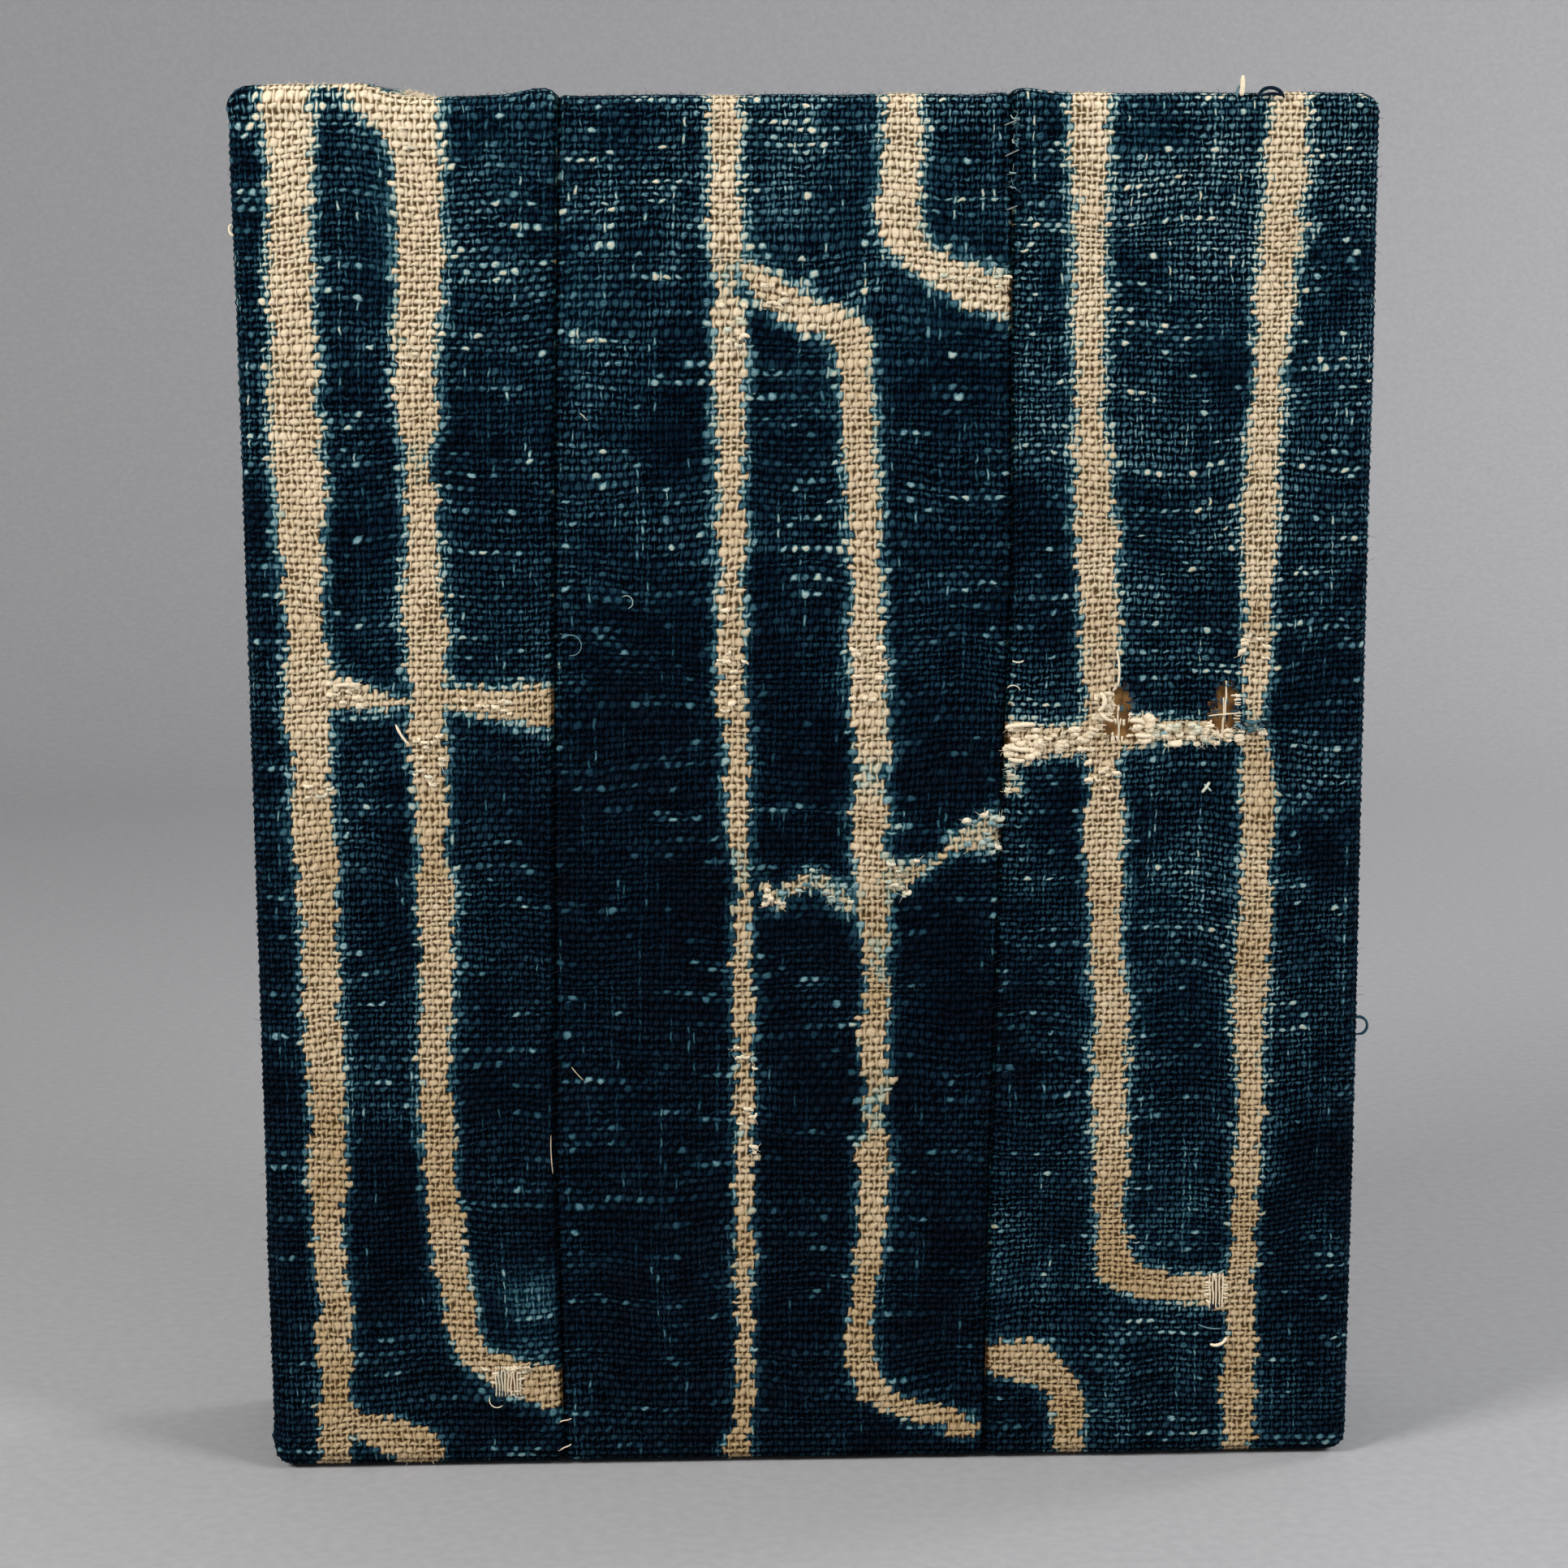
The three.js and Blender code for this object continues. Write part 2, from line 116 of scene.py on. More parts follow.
# Folded ears on the sides, as the side and the end of the panel of each
EAR_RISE, EAR_REACH, EAR_EDGE, EAR_CLEAR = 1.2, 33.0, 1.3, 1.6
EAR_CORNERS = [(-1, -1), (1, -1), (1, 1)]

# The yarns: their spacing, how the cloth rolls in at a seam, and the weave's height over the cloth's middle
WARP_PITCH, WARP_UNEVEN = 1.05, 0.10
SEAM_GAP, SEAM_ROLL, SEAM_ROLL_WIDTH, PROUD_WIDTH = -0.1, 0.95, 2.0, 6.0
CROWN_WEFT, CROWN_WARP, BETWEEN_WARPS, BETWEEN_PICKS, IN_GAP = 0.55, 0.36, 0.30, 0.06, -0.22
HIGHEST_CROWN, FLATTER_ON_EDGES = 0.8, 0.4
MIDDLE_RADIUS = OUTER_RADIUS - CROWN_WEFT
ARC = MIDDLE_RADIUS * math.pi / 4

# The strips: which side of the panel they turn over, the seams beside them, the spacing of their picks and
# how uneven it is, how far they stand proud at their left and right seam, and the seed of their noise
STRIPS = {
    "left": {"side": -1, "seams": (None, LEFT_SEAM), "pick": 1.36, "uneven": 0.14,
             "proud": (0.0, 0.5), "seed": 11},
    "middle": {"side": 0, "seams": (LEFT_SEAM, RIGHT_SEAM), "pick": 1.40, "uneven": 0.30,
               "proud": (0.0, 0.0), "seed": 23},
    "right": {"side": 1, "seams": (RIGHT_SEAM, None), "pick": 1.24, "uneven": 0.22,
              "proud": (0.3, 0.0), "seed": 37},
}

# The resist lines of each strip as brush strokes: the main bends of the path as x and height, the half width
# at its start and end, and how far the dye crept in, from 0 for clean cotton to 1. A stroke that reaches the
# panel's edge runs on round it. Its smaller waves and its changes of width are noise.
STROKES = {
    "left": [
        {"path": [(-91.4, 310), (-92.3, 240), (-92.3, 145), (-90.7, 75), (-91.6, -50)], "halves": (4.7, 3.3)},
        {"path": [(-89.5, 12), (-83, 8.2), (-75.4, 4)], "halves": (2.0, 4.8)},
        {"path": [(-87, 259.5), (-78, 256.4), (-69.5, 250)], "halves": (1.2, 4.0)},
        {"path": [(-69.6, 310), (-69.2, 250), (-70.7, 200), (-69.5, 110), (-69.6, 55), (-65.8, 24.5)],
         "halves": (4.4, 3.1)},
        {"path": [(-65.8, 24.5), (-60, 19.7), (-44, 14)], "halves": (3.0, 5.0)},
        {"path": [(-86, 149.5), (-74, 148)], "halves": (3.6, 1.8), "crept": 0.12},
        {"path": [(-72, 148.3), (-59.5, 147.6), (-47.5, 146)], "halves": (2.0, 3.6), "crept": 0.08},
    ],
    "middle": [
        {"path": [(-15, 310), (-14.8, 240), (-14.2, 170), (-13, 115), (-12.7, 60), (-13.1, 7)],
         "halves": (3.3, 2.0)},
        {"path": [(-16, 3), (-13.5, 3.2), (-14, -50)], "halves": (1.7, 2.4)},
        {"path": [(-11, 225.6), (-3, 220.4), (7.6, 215.0), (9.0, 206), (10.5, 165), (11.1, 130), (12.1, 95),
                  (11.3, 49), (9.4, 24), (13.5, 13.6), (30.5, 7)], "halves": (3.6, 2.9)},
        {"path": [(17, 310), (16.5, 250), (16.2, 236), (20, 228), (32, 223), (40, 222)],
         "halves": (3.5, 3.7)},
        {"path": [(-8.6, 113.4), (-5.4, 109.3)], "halves": (1.4, 1.4)},
        {"path": [(-4.8, 111.8), (1.2, 114.4), (7.2, 109.4)], "halves": (1.9, 2.3), "crept": 0.58},
        {"path": [(13, 113.5), (20, 115.8), (25, 119)], "halves": (3.5, 1.1), "crept": 0.3},
        {"path": [(26.6, 121), (33.5, 123.2)], "halves": (1.3, 4.0), "crept": 0.45},
    ],
    "right": [
        {"path": [(50, 310), (50.8, 240), (51.2, 205), (53.4, 158), (54.5, 125), (56, 82), (57, 46),
                  (61, 35.8), (79, 33.6)], "halves": (3.4, 3.7)},
        {"path": [(87, 310), (85.6, 240), (82.5, 186), (82.1, 150), (83, 120), (82.6, 75), (81.5, -50)],
         "halves": (3.2, 3.0)},
        {"path": [(34, 140), (47, 140.3), (60, 141.8), (77, 141.3)], "halves": (3.8, 2.4)},
        {"path": [(37, 133), (37.2, 131.6)], "halves": (1.5, 1.2), "crept": 0.1},
        {"path": [(32, 20.5), (42, 19.2), (47.8, 15.2), (49, 8), (48.8, -50)], "halves": (4.3, 2.8)},
    ],
}
WAVE_LENGTH, WAVE_SIZE, WIDTH_CHANGE, STROKE_STEP = 11.0, 0.4, 0.24, 4.0

# Places where the dye crept into a line and narrowed it
CREPT_IN = [
    {"strip": "left", "x": -70.5, "height": 191.5, "reach": 4.5, "crept": 0.5},
    {"strip": "middle", "x": -14.6, "height": 224.5, "reach": 6.0, "crept": 0.55},
    {"strip": "middle", "x": -12.9, "height": 115.0, "reach": 8.0, "crept": 0.35},
    {"strip": "middle", "x": 10.7, "height": 134.5, "reach": 3.5, "crept": 0.6},
    {"strip": "middle", "x": 12.1, "height": 99.0, "reach": 6.0, "crept": 0.45},
    {"strip": "middle", "x": 12.0, "height": 71.0, "reach": 6.0, "crept": 0.6},
    {"strip": "right", "x": 82.3, "height": 144.0, "reach": 4.0, "crept": 0.35},
]

# Worn places: the corners of the missing cloth as x and height, and how many bare warps are left across it
WORN = [
    {"strip": "right", "low": (53.9, 140.6), "high": (60.0, 145.8), "warps": 1},
    {"strip": "right", "low": (55.7, 143.6), "high": (59.3, 150.2), "warps": 0},
    {"strip": "right", "low": (74.0, 141.2), "high": (78.8, 147.0), "warps": 1},
    {"strip": "right", "low": (74.8, 144.2), "high": (78.8, 150.3), "warps": 1},
    {"strip": "right", "low": (75.5, 30.6), "high": (78.6, 36.4), "warps": 5},
    {"strip": "left", "low": (-60.6, 15.3), "high": (-55.4, 19.6), "warps": 9},
]
WORN_CORNER = 2.8


def smooth_step(value):
    t = np.clip(value, 0.0, 1.0)
    return t * t * (3.0 - 2.0 * t)


def hashed(*keys):
    """Even random numbers from 0 to 1, one for each set of whole numbers, the same on every run."""
    mixed = np.zeros(np.broadcast(*keys).shape, dtype=np.uint64)
    for key in keys:
        mixed = mixed ^ np.asarray(key).astype(np.int64).astype(np.uint64)
        mixed = (mixed + np.uint64(0x9E3779B97F4A7C15)) * np.uint64(0xBF58476D1CE4E5B9)
        mixed ^= mixed >> np.uint64(27)
        mixed = mixed * np.uint64(0x94D049BB133111EB)
        mixed ^= mixed >> np.uint64(31)
    return (mixed >> np.uint64(11)).astype(np.float64) / 2.0**53


def smooth_noise(x, y, seed):
    """Soft noise from -1 to 1 with one lump for each whole step of x and y."""
    x, y = np.broadcast_arrays(np.asarray(x, float), np.asarray(y, float))
    low_x, low_y = np.floor(x), np.floor(y)
    share_x, share_y = smooth_step(x - low_x), smooth_step(y - low_y)

    def corner(dx, dy):
        return hashed(low_x + dx, low_y + dy, np.int64(seed))

    low = corner(0, 0) * (1 - share_x) + corner(1, 0) * share_x
    high = corner(0, 1) * (1 - share_x) + corner(1, 1) * share_x
    return 2.0 * (low * (1 - share_y) + high * share_y) - 1.0


def seam_x(seam, height):
    heights, places = zip(*seam)
    return np.interp(height, heights, places)


# The cloth's shape over the panel
def soft_rise(x, y, z):
    rise = np.zeros_like(x)
    for fold_x, fold_y, fold_z, wide, deep, tall, lean, height in SOFT_FOLDS:
        across = (x - fold_x - lean * (z - fold_z)) / wide
        rise += height * np.exp(-(across**2 + ((y - fold_y) / deep) ** 2 + ((z - fold_z) / tall) ** 2))
    return rise


def tucked_rise(x, y, up):
    level = TUCKED_LEVEL + TUCKED_SPREAD * (y - FRONT_Y) / (BACK_Y - FRONT_Y)
    share = 1.0 - smooth_step((x + PANEL_HALF_WIDTH - level) / TUCKED_SLOPE)
    return TUCKED_RISE * share * np.maximum(up, 0.0)


def ear_rise(x, y, z, outward_x):
    """The folded ears of cloth on the sides: right-angled triangles with long edges from the front corners."""
    rise = np.zeros_like(x)
    for side, end in EAR_CORNERS:
        edge = 0.0 if end < 0 else PANEL_TOP + CLOTH_OFFSET
        up = np.abs(z - edge)
        slope = EAR_REACH / (BACK_Y - CORE_FRONT)
        inside = ((y - CORE_FRONT) * slope - up) / EAR_EDGE + 0.5
        near_edge = smooth_step((up - EAR_CLEAR) / EAR_CLEAR)
        rise += EAR_RISE * smooth_step(inside) * near_edge * np.clip(outward_x * side, 0.0, 1.0) ** 2
    return rise


def crown(warp, pick):
    """The weave's height over the cloth's middle at a warp and pick number, which count up by one a yarn."""
    warp_share, pick_share = np.abs(warp - np.round(warp)), np.abs(pick - np.round(pick))
    weft_up = (np.round(warp) + np.round(pick)) % 2 < 0.5
    top = np.where(weft_up, CROWN_WEFT, CROWN_WARP)
    to_side = top + (BETWEEN_WARPS - top) * smooth_step(2 * warp_share)
    to_side_low = BETWEEN_PICKS + (IN_GAP - BETWEEN_PICKS) * smooth_step(2 * warp_share)
    return to_side + (to_side_low - to_side) * smooth_step(2 * pick_share)


class Lines:
    """The grid lines on one axis: the place on the panel's core, how far round a rounded edge the line lies,
    from -1 to 1, and the yarn number that it has."""

    def __init__(self, place, turn, yarn):
        self.place, self.turn, self.yarn = (np.asarray(values, float) for values in (place, turn, yarn))

    def __len__(self):
        return len(self.place)


def spaced_yarns(start, end, pitch, seed, uneven):
    """Places of half yarns from start to end, about half a pitch apart, and their yarn numbers."""
    count = int(round((end - start) / pitch))
    widths = 1.0 + uneven * (2 * hashed(np.arange(count), np.int64(seed)) - 1)
    edges = np.concatenate([[0.0], np.cumsum(widths)])
    numbers = np.arange(0, 2 * count + 1) / 2.0
    places = start + (end - start) * np.interp(numbers, np.arange(count + 1), edges) / edges[-1]
    return places, numbers


def wrapped_lines(places, numbers, low, high):
    """Lines from places along the cloth, where what lies past low and high runs round an edge."""
    past_high = np.where(places > high, (places - high) / ARC, 0.0)
    turn = np.where(places < low, (places - low) / ARC, past_high)
    return Lines(np.clip(places, low, high), np.clip(turn, -1, 1), numbers)


def mean_x(seam):
    return float(np.mean([x for _, x in seam]))


def strip_lines(spec):
    """The lines of a strip: across it, which lean with the seams, back along its depth, and up it."""
    seed = spec["seed"]
    heights, picks = spaced_yarns(CORE_FOOT - ARC, CORE_TOP + ARC, spec["pick"], seed, spec["uneven"])
    up = wrapped_lines(heights, picks, CORE_FOOT, CORE_TOP)
    depth_count = int(round((CORE_BACK - CORE_FRONT + 2 * ARC) / WARP_PITCH))
    depths = np.linspace(CORE_FRONT - ARC, CORE_BACK + ARC, depth_count + 1)
    back = wrapped_lines(depths, np.arange(depth_count + 1, dtype=float), CORE_FRONT, CORE_BACK)
    left, right = spec["seams"]
    low = -CORE_X - ARC if left is None else mean_x(left) + SEAM_GAP / 2
    high = CORE_X + ARC if right is None else mean_x(right) - SEAM_GAP / 2
    places, warps = spaced_yarns(low, high, WARP_PITCH, seed + 1, WARP_UNEVEN)
    across = wrapped_lines(places, warps, -CORE_X, CORE_X)
    return {"x": across, "y": back, "z": up, "span": (low, high), "side": spec["side"]}


def leaning_x(spec, lines, place, height):
    """Moves a place across a strip so that its edges follow the seams at that height."""
    low, high = lines["span"]
    left, right = spec["seams"]
    new_low = low if left is None else seam_x(left, height) + SEAM_GAP / 2
    new_high = high if right is None else seam_x(right, height) - SEAM_GAP / 2
    moved = new_low + (place - low) * (new_high - new_low) / (high - low)
    return np.where(np.abs(place) < CORE_X - 1e-6, moved, place)


def side_quads(counts, fixed, number, turned_over, keep=None):
    """The quads of one side of the box, as the line numbers of their four corners on the axes x, y and z. The
    fixed axis has the same number all over."""
    first, second = (axis for axis in range(3) if axis != fixed)
    a, b = np.meshgrid(np.arange(counts[first] - 1), np.arange(counts[second] - 1), indexing="ij")
    if keep is not None:
        kept = keep(a, b)
        a, b = a[kept], b[kept]
    a, b = a.ravel(), b.ravel()
    steps = [(0, 0), (1, 0), (1, 1), (0, 1)]
    corners = np.full((len(a), 4, 3), number)
    for corner, (step_a, step_b) in enumerate(reversed(steps) if turned_over else steps):
        corners[:, corner, first] = a + step_a
        corners[:, corner, second] = b + step_b
    return corners


def kept_flap(lines, which):
    """Says which quads of the back one flap covers: the bottom one is 0, the top one 1 and the side one 2."""
    across, up = lines["x"], lines["z"]
    in_x = PANEL_HALF_WIDTH - np.abs(across.place)
    in_low, in_high = up.place - PANEL_FOOT, PANEL_TOP - up.place

    def keep(a, b):
        from_side = in_x[a] if lines["side"] else np.full(a.shape, FAR)
        reach = np.stack([in_low[b], in_high[b], from_side])
        line = b if which == 2 else a
        ragged = 0.8 * smooth_noise(line * 0.31, 0, 50 + which)
        ragged += 0.5 * smooth_noise(line * 1.7, 0, 51 + which)
        return (reach[which] < FLAP_WIDTH + ragged) & (np.argmin(reach, axis=0) == which)

    return keep


def yarns_behind(line, end, around, numbers):
    """Yarn numbers on the back, where the cloth has gone round the low (-1) or high (1) end of an axis."""
    if end < 0:
        return line.yarn[0] - around - (line.yarn[numbers] - line.yarn[0])
    return line.yarn[-1] + around + (line.yarn[-1] - line.yarn[numbers])


def sheet_faces(lines):
    """The quads of the box's sides that the cloth covers. Each row has the side's name, four corners as line
    numbers and the warp and pick numbers of the corners."""
    across, back, up = lines["x"], lines["y"], lines["z"]
    counts = (len(across), len(back), len(up))
    last_x, last_y, last_z = (count - 1 for count in counts)
    pick_step = (up.yarn[-1] - up.yarn[0]) / (up.place[-1] - up.place[0] + 2 * ARC)
    warp_step = (across.yarn[-1] - across.yarn[0]) / (lines["span"][1] - lines["span"][0])
    depth = (back.yarn / back.yarn[-1]) * (CORE_BACK - CORE_FRONT + 2 * ARC)
    front = side_quads(counts, Y, 0, False)
    top = side_quads(counts, Z, last_z, False)
    bottom = side_quads(counts, Z, 0, True)
    sides = [
        ("front", front, across.yarn[front[..., X]], up.yarn[front[..., Z]]),
        ("top", top, across.yarn[top[..., X]], up.yarn[-1] + depth[top[..., Y]] * pick_step),
        ("bottom", bottom, across.yarn[bottom[..., X]], up.yarn[0] - depth[bottom[..., Y]] * pick_step),
    ]
    if lines["side"] < 0:
        left = side_quads(counts, X, 0, True)
        warps = across.yarn[0] - depth[left[..., Y]] * warp_step
        sides.append(("left", left, warps, up.yarn[left[..., Z]]))
    if lines["side"] > 0:
        right = side_quads(counts, X, last_x, False)
        warps = across.yarn[-1] + depth[right[..., Y]] * warp_step
        sides.append(("right", right, warps, up.yarn[right[..., Z]]))
    for which, (name, end) in enumerate([("flap_bottom", -1), ("flap_top", 1)]):
        flap = side_quads(counts, Y, last_y, True, kept_flap(lines, which))
        picks = yarns_behind(up, end, depth[-1] * pick_step, flap[..., Z])
        sides.append((name, flap, across.yarn[flap[..., X]], picks))
    if lines["side"]:
        flap = side_quads(counts, Y, last_y, True, kept_flap(lines, 2))
        warps = yarns_behind(across, lines["side"], depth[-1] * warp_step, flap[..., X])
        sides.append(("flap_side", flap, warps, up.yarn[flap[..., Z]]))
    return sides


def seam_shape(spec, x, z):
    """How far the cloth rolls in and stands proud beside its seams, and how free its yarns are to wander."""
    roll, lift, free = np.zeros_like(x), np.zeros_like(x), np.ones_like(x)
    for seam, side, proud in zip(spec["seams"], (1, -1), spec["proud"]):
        if seam is None:
            continue
        distance = np.abs(x - seam_x(seam, z) - side * SEAM_GAP / 2)
        roll += SEAM_ROLL * np.maximum(0.0, 1.0 - distance / SEAM_ROLL_WIDTH) ** 2
        lift += proud * np.exp(-((distance / PROUD_WIDTH) ** 2))
        free *= smooth_step(distance / 2.5)
    return roll, lift, free


def surface_points(spec, lines, corners, warps, picks, weave=1.0):
    """Where the cloth's surface is at corners of the grid, in millimetres, and which way it faces."""
    across, back, up = lines["x"], lines["y"], lines["z"]
    i, j, k = np.moveaxis(corners, -1, 0)
    seed = spec["seed"]
    core_z = up.place[k]
    core_y = back.place[j]
    core_x = leaning_x(spec, lines, across.place[i], core_z)
    turns = [across.turn[i], back.turn[j], up.turn[k]]
    outward = np.stack([np.tan(turn * math.pi / 4) for turn in turns], axis=-1)
    outward /= np.linalg.norm(outward, axis=-1, keepdims=True)
    # Yarns that wander a little within the cloth, but not at the panel's edges or along the seams
    edge_fade = smooth_step(np.minimum(core_z - CORE_FOOT, CORE_TOP - core_z) / 6.0)
    side_fade = smooth_step((CORE_X - np.abs(core_x)) / 5.0)
    wander_z = 1.15 * smooth_noise(core_x / 14, core_z / 17, seed + 3)
    wander_z = wander_z + 0.2 * smooth_noise(core_x / 4, picks, seed)
    wander_x = 0.45 * smooth_noise(core_x / 19, core_z / 23, seed + 4)
    wander_x = wander_x + 0.12 * smooth_noise(warps, core_z / 4, seed)
    roll, lift, free = seam_shape(spec, core_x, core_z)
    core_z = core_z + wander_z * edge_fade
    core_x = core_x + wander_x * side_fade * free
    base = np.stack([core_x, core_y, core_z], axis=-1)
    x, y, z = np.moveaxis(base + outward * INNER_RADIUS, -1, 0)
    out_x, out_y, out_z = np.moveaxis(outward, -1, 0)
    flat = np.minimum(1.0 - np.maximum(-out_z, 0.0), 1.0 - np.maximum(out_y, 0.0))
    rise = (soft_rise(x, y, z) + lift) * flat
    if spec["side"] < 0:
        rise = rise + tucked_rise(x, y, out_z)
    rise = rise + ear_rise(x, y, z, out_x)
    slub = 1.0 + 0.35 * smooth_noise(warps / 9.0, picks * 1.0, seed + 6)
    on_edge = np.clip(np.abs(turns[0]) + np.abs(turns[1] + 1.0) + np.abs(turns[2]), 0.0, 1.0)
    relief = crown(warps, picks) * weave * slub * (1.0 - FLATTER_ON_EDGES * on_edge)
    relief = np.where(out_z < -0.9, np.minimum(relief, CROWN_WEFT), relief)
    distance = MIDDLE_RADIUS + rise - roll + np.minimum(relief, HIGHEST_CROWN)
    return base + outward * distance[..., None], outward


def unrolled(line, low, high, mm_a_yarn, numbers):
    """Places on one axis of the cloth laid out flat for yarn numbers, also for those past its last lines."""
    past_high = np.where(line.turn > 0, high + line.turn * ARC, line.place)
    flat = np.where(line.turn < 0, low + line.turn * ARC, past_high)
    place = np.interp(numbers, line.yarn, flat)
    place = place + np.where(numbers < line.yarn[0], (numbers - line.yarn[0]) * mm_a_yarn, 0.0)
    return place + np.where(numbers > line.yarn[-1], (numbers - line.yarn[-1]) * mm_a_yarn, 0.0)


def flat_place(spec, lines, warps, picks):
    """Where a yarn crossing lies on the cloth laid out flat, with the front's own x and height."""
    across, up = lines["x"], lines["z"]
    low, high = lines["span"]
    warp_mm = (high - low) / (across.yarn[-1] - across.yarn[0])
    pick_mm = (CORE_TOP - CORE_FOOT + 2 * ARC) / (up.yarn[-1] - up.yarn[0])
    z = unrolled(up, CORE_FOOT, CORE_TOP, pick_mm, picks)
    x = unrolled(across, -CORE_X, CORE_X, warp_mm, warps)
    return leaning_x(spec, lines, x, z), z


# The dye
# The depth of the indigo, and how much the crowns of the floats are paled, partly by wear and partly as
# painted highlight, at levels from below the panel to above it
LEVELS = [-60, 20, 60, 115, 175, 245, 320]
DEEPEST_DYE = [1.00, 1.00, 1.02, 1.00, 0.97, 0.91, 0.86]
RUBBED_AND_HIGHLIT = {
    "left": [0.20, 0.20, 0.20, 0.25, 0.26, 0.29, 0.28],
    "middle": [0.19, 0.19, 0.16, 0.18, 0.25, 0.28, 0.28],
    "right": [0.25, 0.26, 0.30, 0.33, 0.35, 0.36, 0.36],
}

# Runs of pale floats in single picks, as height, and x from and to
PALE_RUNS = {
    "left": [(228, -62, -47), (118, -64, -52)],
    "middle": [(160, -47, -36), (147, -38, -22), (133, -43, -33), (104, 15, 26), (33, -45, -20)],
    "right": [(235.3, 60, 73), (215.5, 55, 83), (208, 87, 99), (189.5, 55, 75), (160.5, 62, 76),
              (142, 88, 103), (104, 58, 75), (71.5, 62, 76), (31, 88, 100)],
}

# Soft patches where the dye is thinner, as x, height, wide, tall and how much
PALE_ZONES = {
    "left": [(-54, 34, 7, 7, 0.38), (-77, 232, 5, 18, 0.12), (-79, 70, 5, 12, 0.08), (-54, 22, 9, 4, 0.16),
             (-57, 246, 8, 8, 0.08)],
    "middle": [(-40, 216, 6, 13, 0.16), (-4, 240, 5, 12, 0.12), (0, 205, 5, 7, 0.12), (24, 218, 8, 4, 0.1),
               (14, 124, 5, 6, 0.12), (-28, 40, 8, 20, 0.06)],
    "right": [(67, 246, 12, 10, 0.08), (68, 215, 12, 5, 0.07), (32, 36, 5, 6, 0.2), (67, 100, 9, 20, 0.08),
              (95, 210, 7, 14, 0.07), (44, 196, 5, 12, 0.06), (91, 9, 9, 7, 0.1),
              (70, 52, 9, 12, 0.14), (58, 15, 3, 12, 0.18), (72, 18, 4, 10, 0.1)],
}


def thinner_dye(name, x, z):
    share = np.zeros(x.shape)
    for place, height, wide, tall, amount in PALE_ZONES[name]:
        share += amount * np.exp(-(((x - place) / wide) ** 2) - ((z - height) / tall) ** 2)
    return share


def chosen_runs(name, x, z, pick_mm):
    share = np.zeros(x.shape)
    for height, low, high in PALE_RUNS[name]:
        beside = np.maximum(np.maximum(low - x, x - high), 0.0)
        on_pick = np.abs(z - height) < pick_mm / 2
        share = np.maximum(share, on_pick * (1.0 - smooth_step(beside / 3.0)))
    return share


def rub_and_highlight_levels(name, x, z, seed):
    """How much the crowns of the floats are paled: partly wear, partly painted highlight."""
    rub_and_highlight = np.interp(z, LEVELS, RUBBED_AND_HIGHLIT[name])
    patches = 0.55 * smooth_noise(x / 12, z / 15, seed + 31)
    rub_and_highlight = rub_and_highlight * (1.0 + patches + 0.35 * smooth_noise(x / 4, z / 3, seed + 32))
    rub_and_highlight = rub_and_highlight + 0.16 * np.exp(-(((z - PANEL_TOP - 1.0) / 4.0) ** 2))
    return np.clip(rub_and_highlight, 0.02, 0.5)


def curve_through(points, steps):
    """A smooth run of places through a few points."""
    points = np.asarray(points, float)
    if len(points) == 2:
        return points[0] + np.linspace(0, 1, steps + 1)[:, None] * (points[1] - points[0])
    ends = np.vstack([2 * points[0] - points[1], points, 2 * points[-1] - points[-2]])
    run = []
    for n in range(len(points) - 1):
        a, b, c, d = ends[n:n + 4]
        squared, cubed = 2 * a - 5 * b + 4 * c - d, 3 * b - a - 3 * c + d
        for t in np.linspace(0, 1, steps, endpoint=False):
            run.append(0.5 * (2 * b + (c - a) * t + squared * t**2 + cubed * t**3))
    return np.vstack([run, points[-1:]])


def stroke_rows(name, number):
    """Rows of x, height, half width and crept dye, one for about every 4 mm along a brush stroke."""
    stroke = STROKES[name][number]
    seed = STRIPS[name]["seed"] + 60 + number
    path = curve_through(stroke["path"], 6)
    gone = np.concatenate([[0.0], np.cumsum(np.hypot(*np.diff(path, axis=0).T))])
    here = np.linspace(0.0, gone[-1], max(2, int(gone[-1] / STROKE_STEP)) + 1)
    x, z = np.interp(here, gone, path[:, 0]), np.interp(here, gone, path[:, 1])
    along = np.hypot(np.gradient(x), np.gradient(z))
    wave = WAVE_SIZE * smooth_noise(here / WAVE_LENGTH, 0.5, seed)
    x, z = x - wave * np.gradient(z) / along, z + wave * np.gradient(x) / along
    half = np.interp(here, [0.0, gone[-1]], stroke["halves"])
    half = half * (1.0 + WIDTH_CHANGE * smooth_noise(here / WAVE_LENGTH, 7.5, seed))
    crept = np.full(len(here), stroke.get("crept", 0.0))
    crept = crept + 0.1 * np.maximum(smooth_noise(here / 14.0, 3.5, seed), 0)
    for place in CREPT_IN:
        if place["strip"] == name:
            near = smooth_step(1.3 - np.hypot(x - place["x"], z - place["height"]) / place["reach"])
            crept = np.maximum(crept, near * place["crept"])
            half = half * (1.0 - 0.4 * near * place["crept"])
    return np.stack([x, z, half, crept], axis=1)


ALL_STROKE_ROWS = {name: [stroke_rows(name, number) for number in range(len(strokes))]
                   for name, strokes in STROKES.items()}


def stroke_depth(name, x, z):
    """How far inside the brush strokes each point lies, below 0 outside, and how far dye crept in there."""
    depth = np.full(x.shape, -FAR)
    crept = np.zeros(x.shape)
    for rows in ALL_STROKE_ROWS[name]:
        for (x0, z0, half0, crept0), (x1, z1, half1, crept1) in zip(rows, rows[1:]):
            along_x, along_z = x1 - x0, z1 - z0
            share = np.clip(((x - x0) * along_x + (z - z0) * along_z) / (along_x**2 + along_z**2), 0, 1)
            distance = np.hypot(x - x0 - share * along_x, z - z0 - share * along_z)
            here = half0 + (half1 - half0) * share - distance
            nearer = here > depth
            depth = np.where(nearer, here, depth)
            crept = np.where(nearer, crept0 + (crept1 - crept0) * share, crept)
    return depth, crept


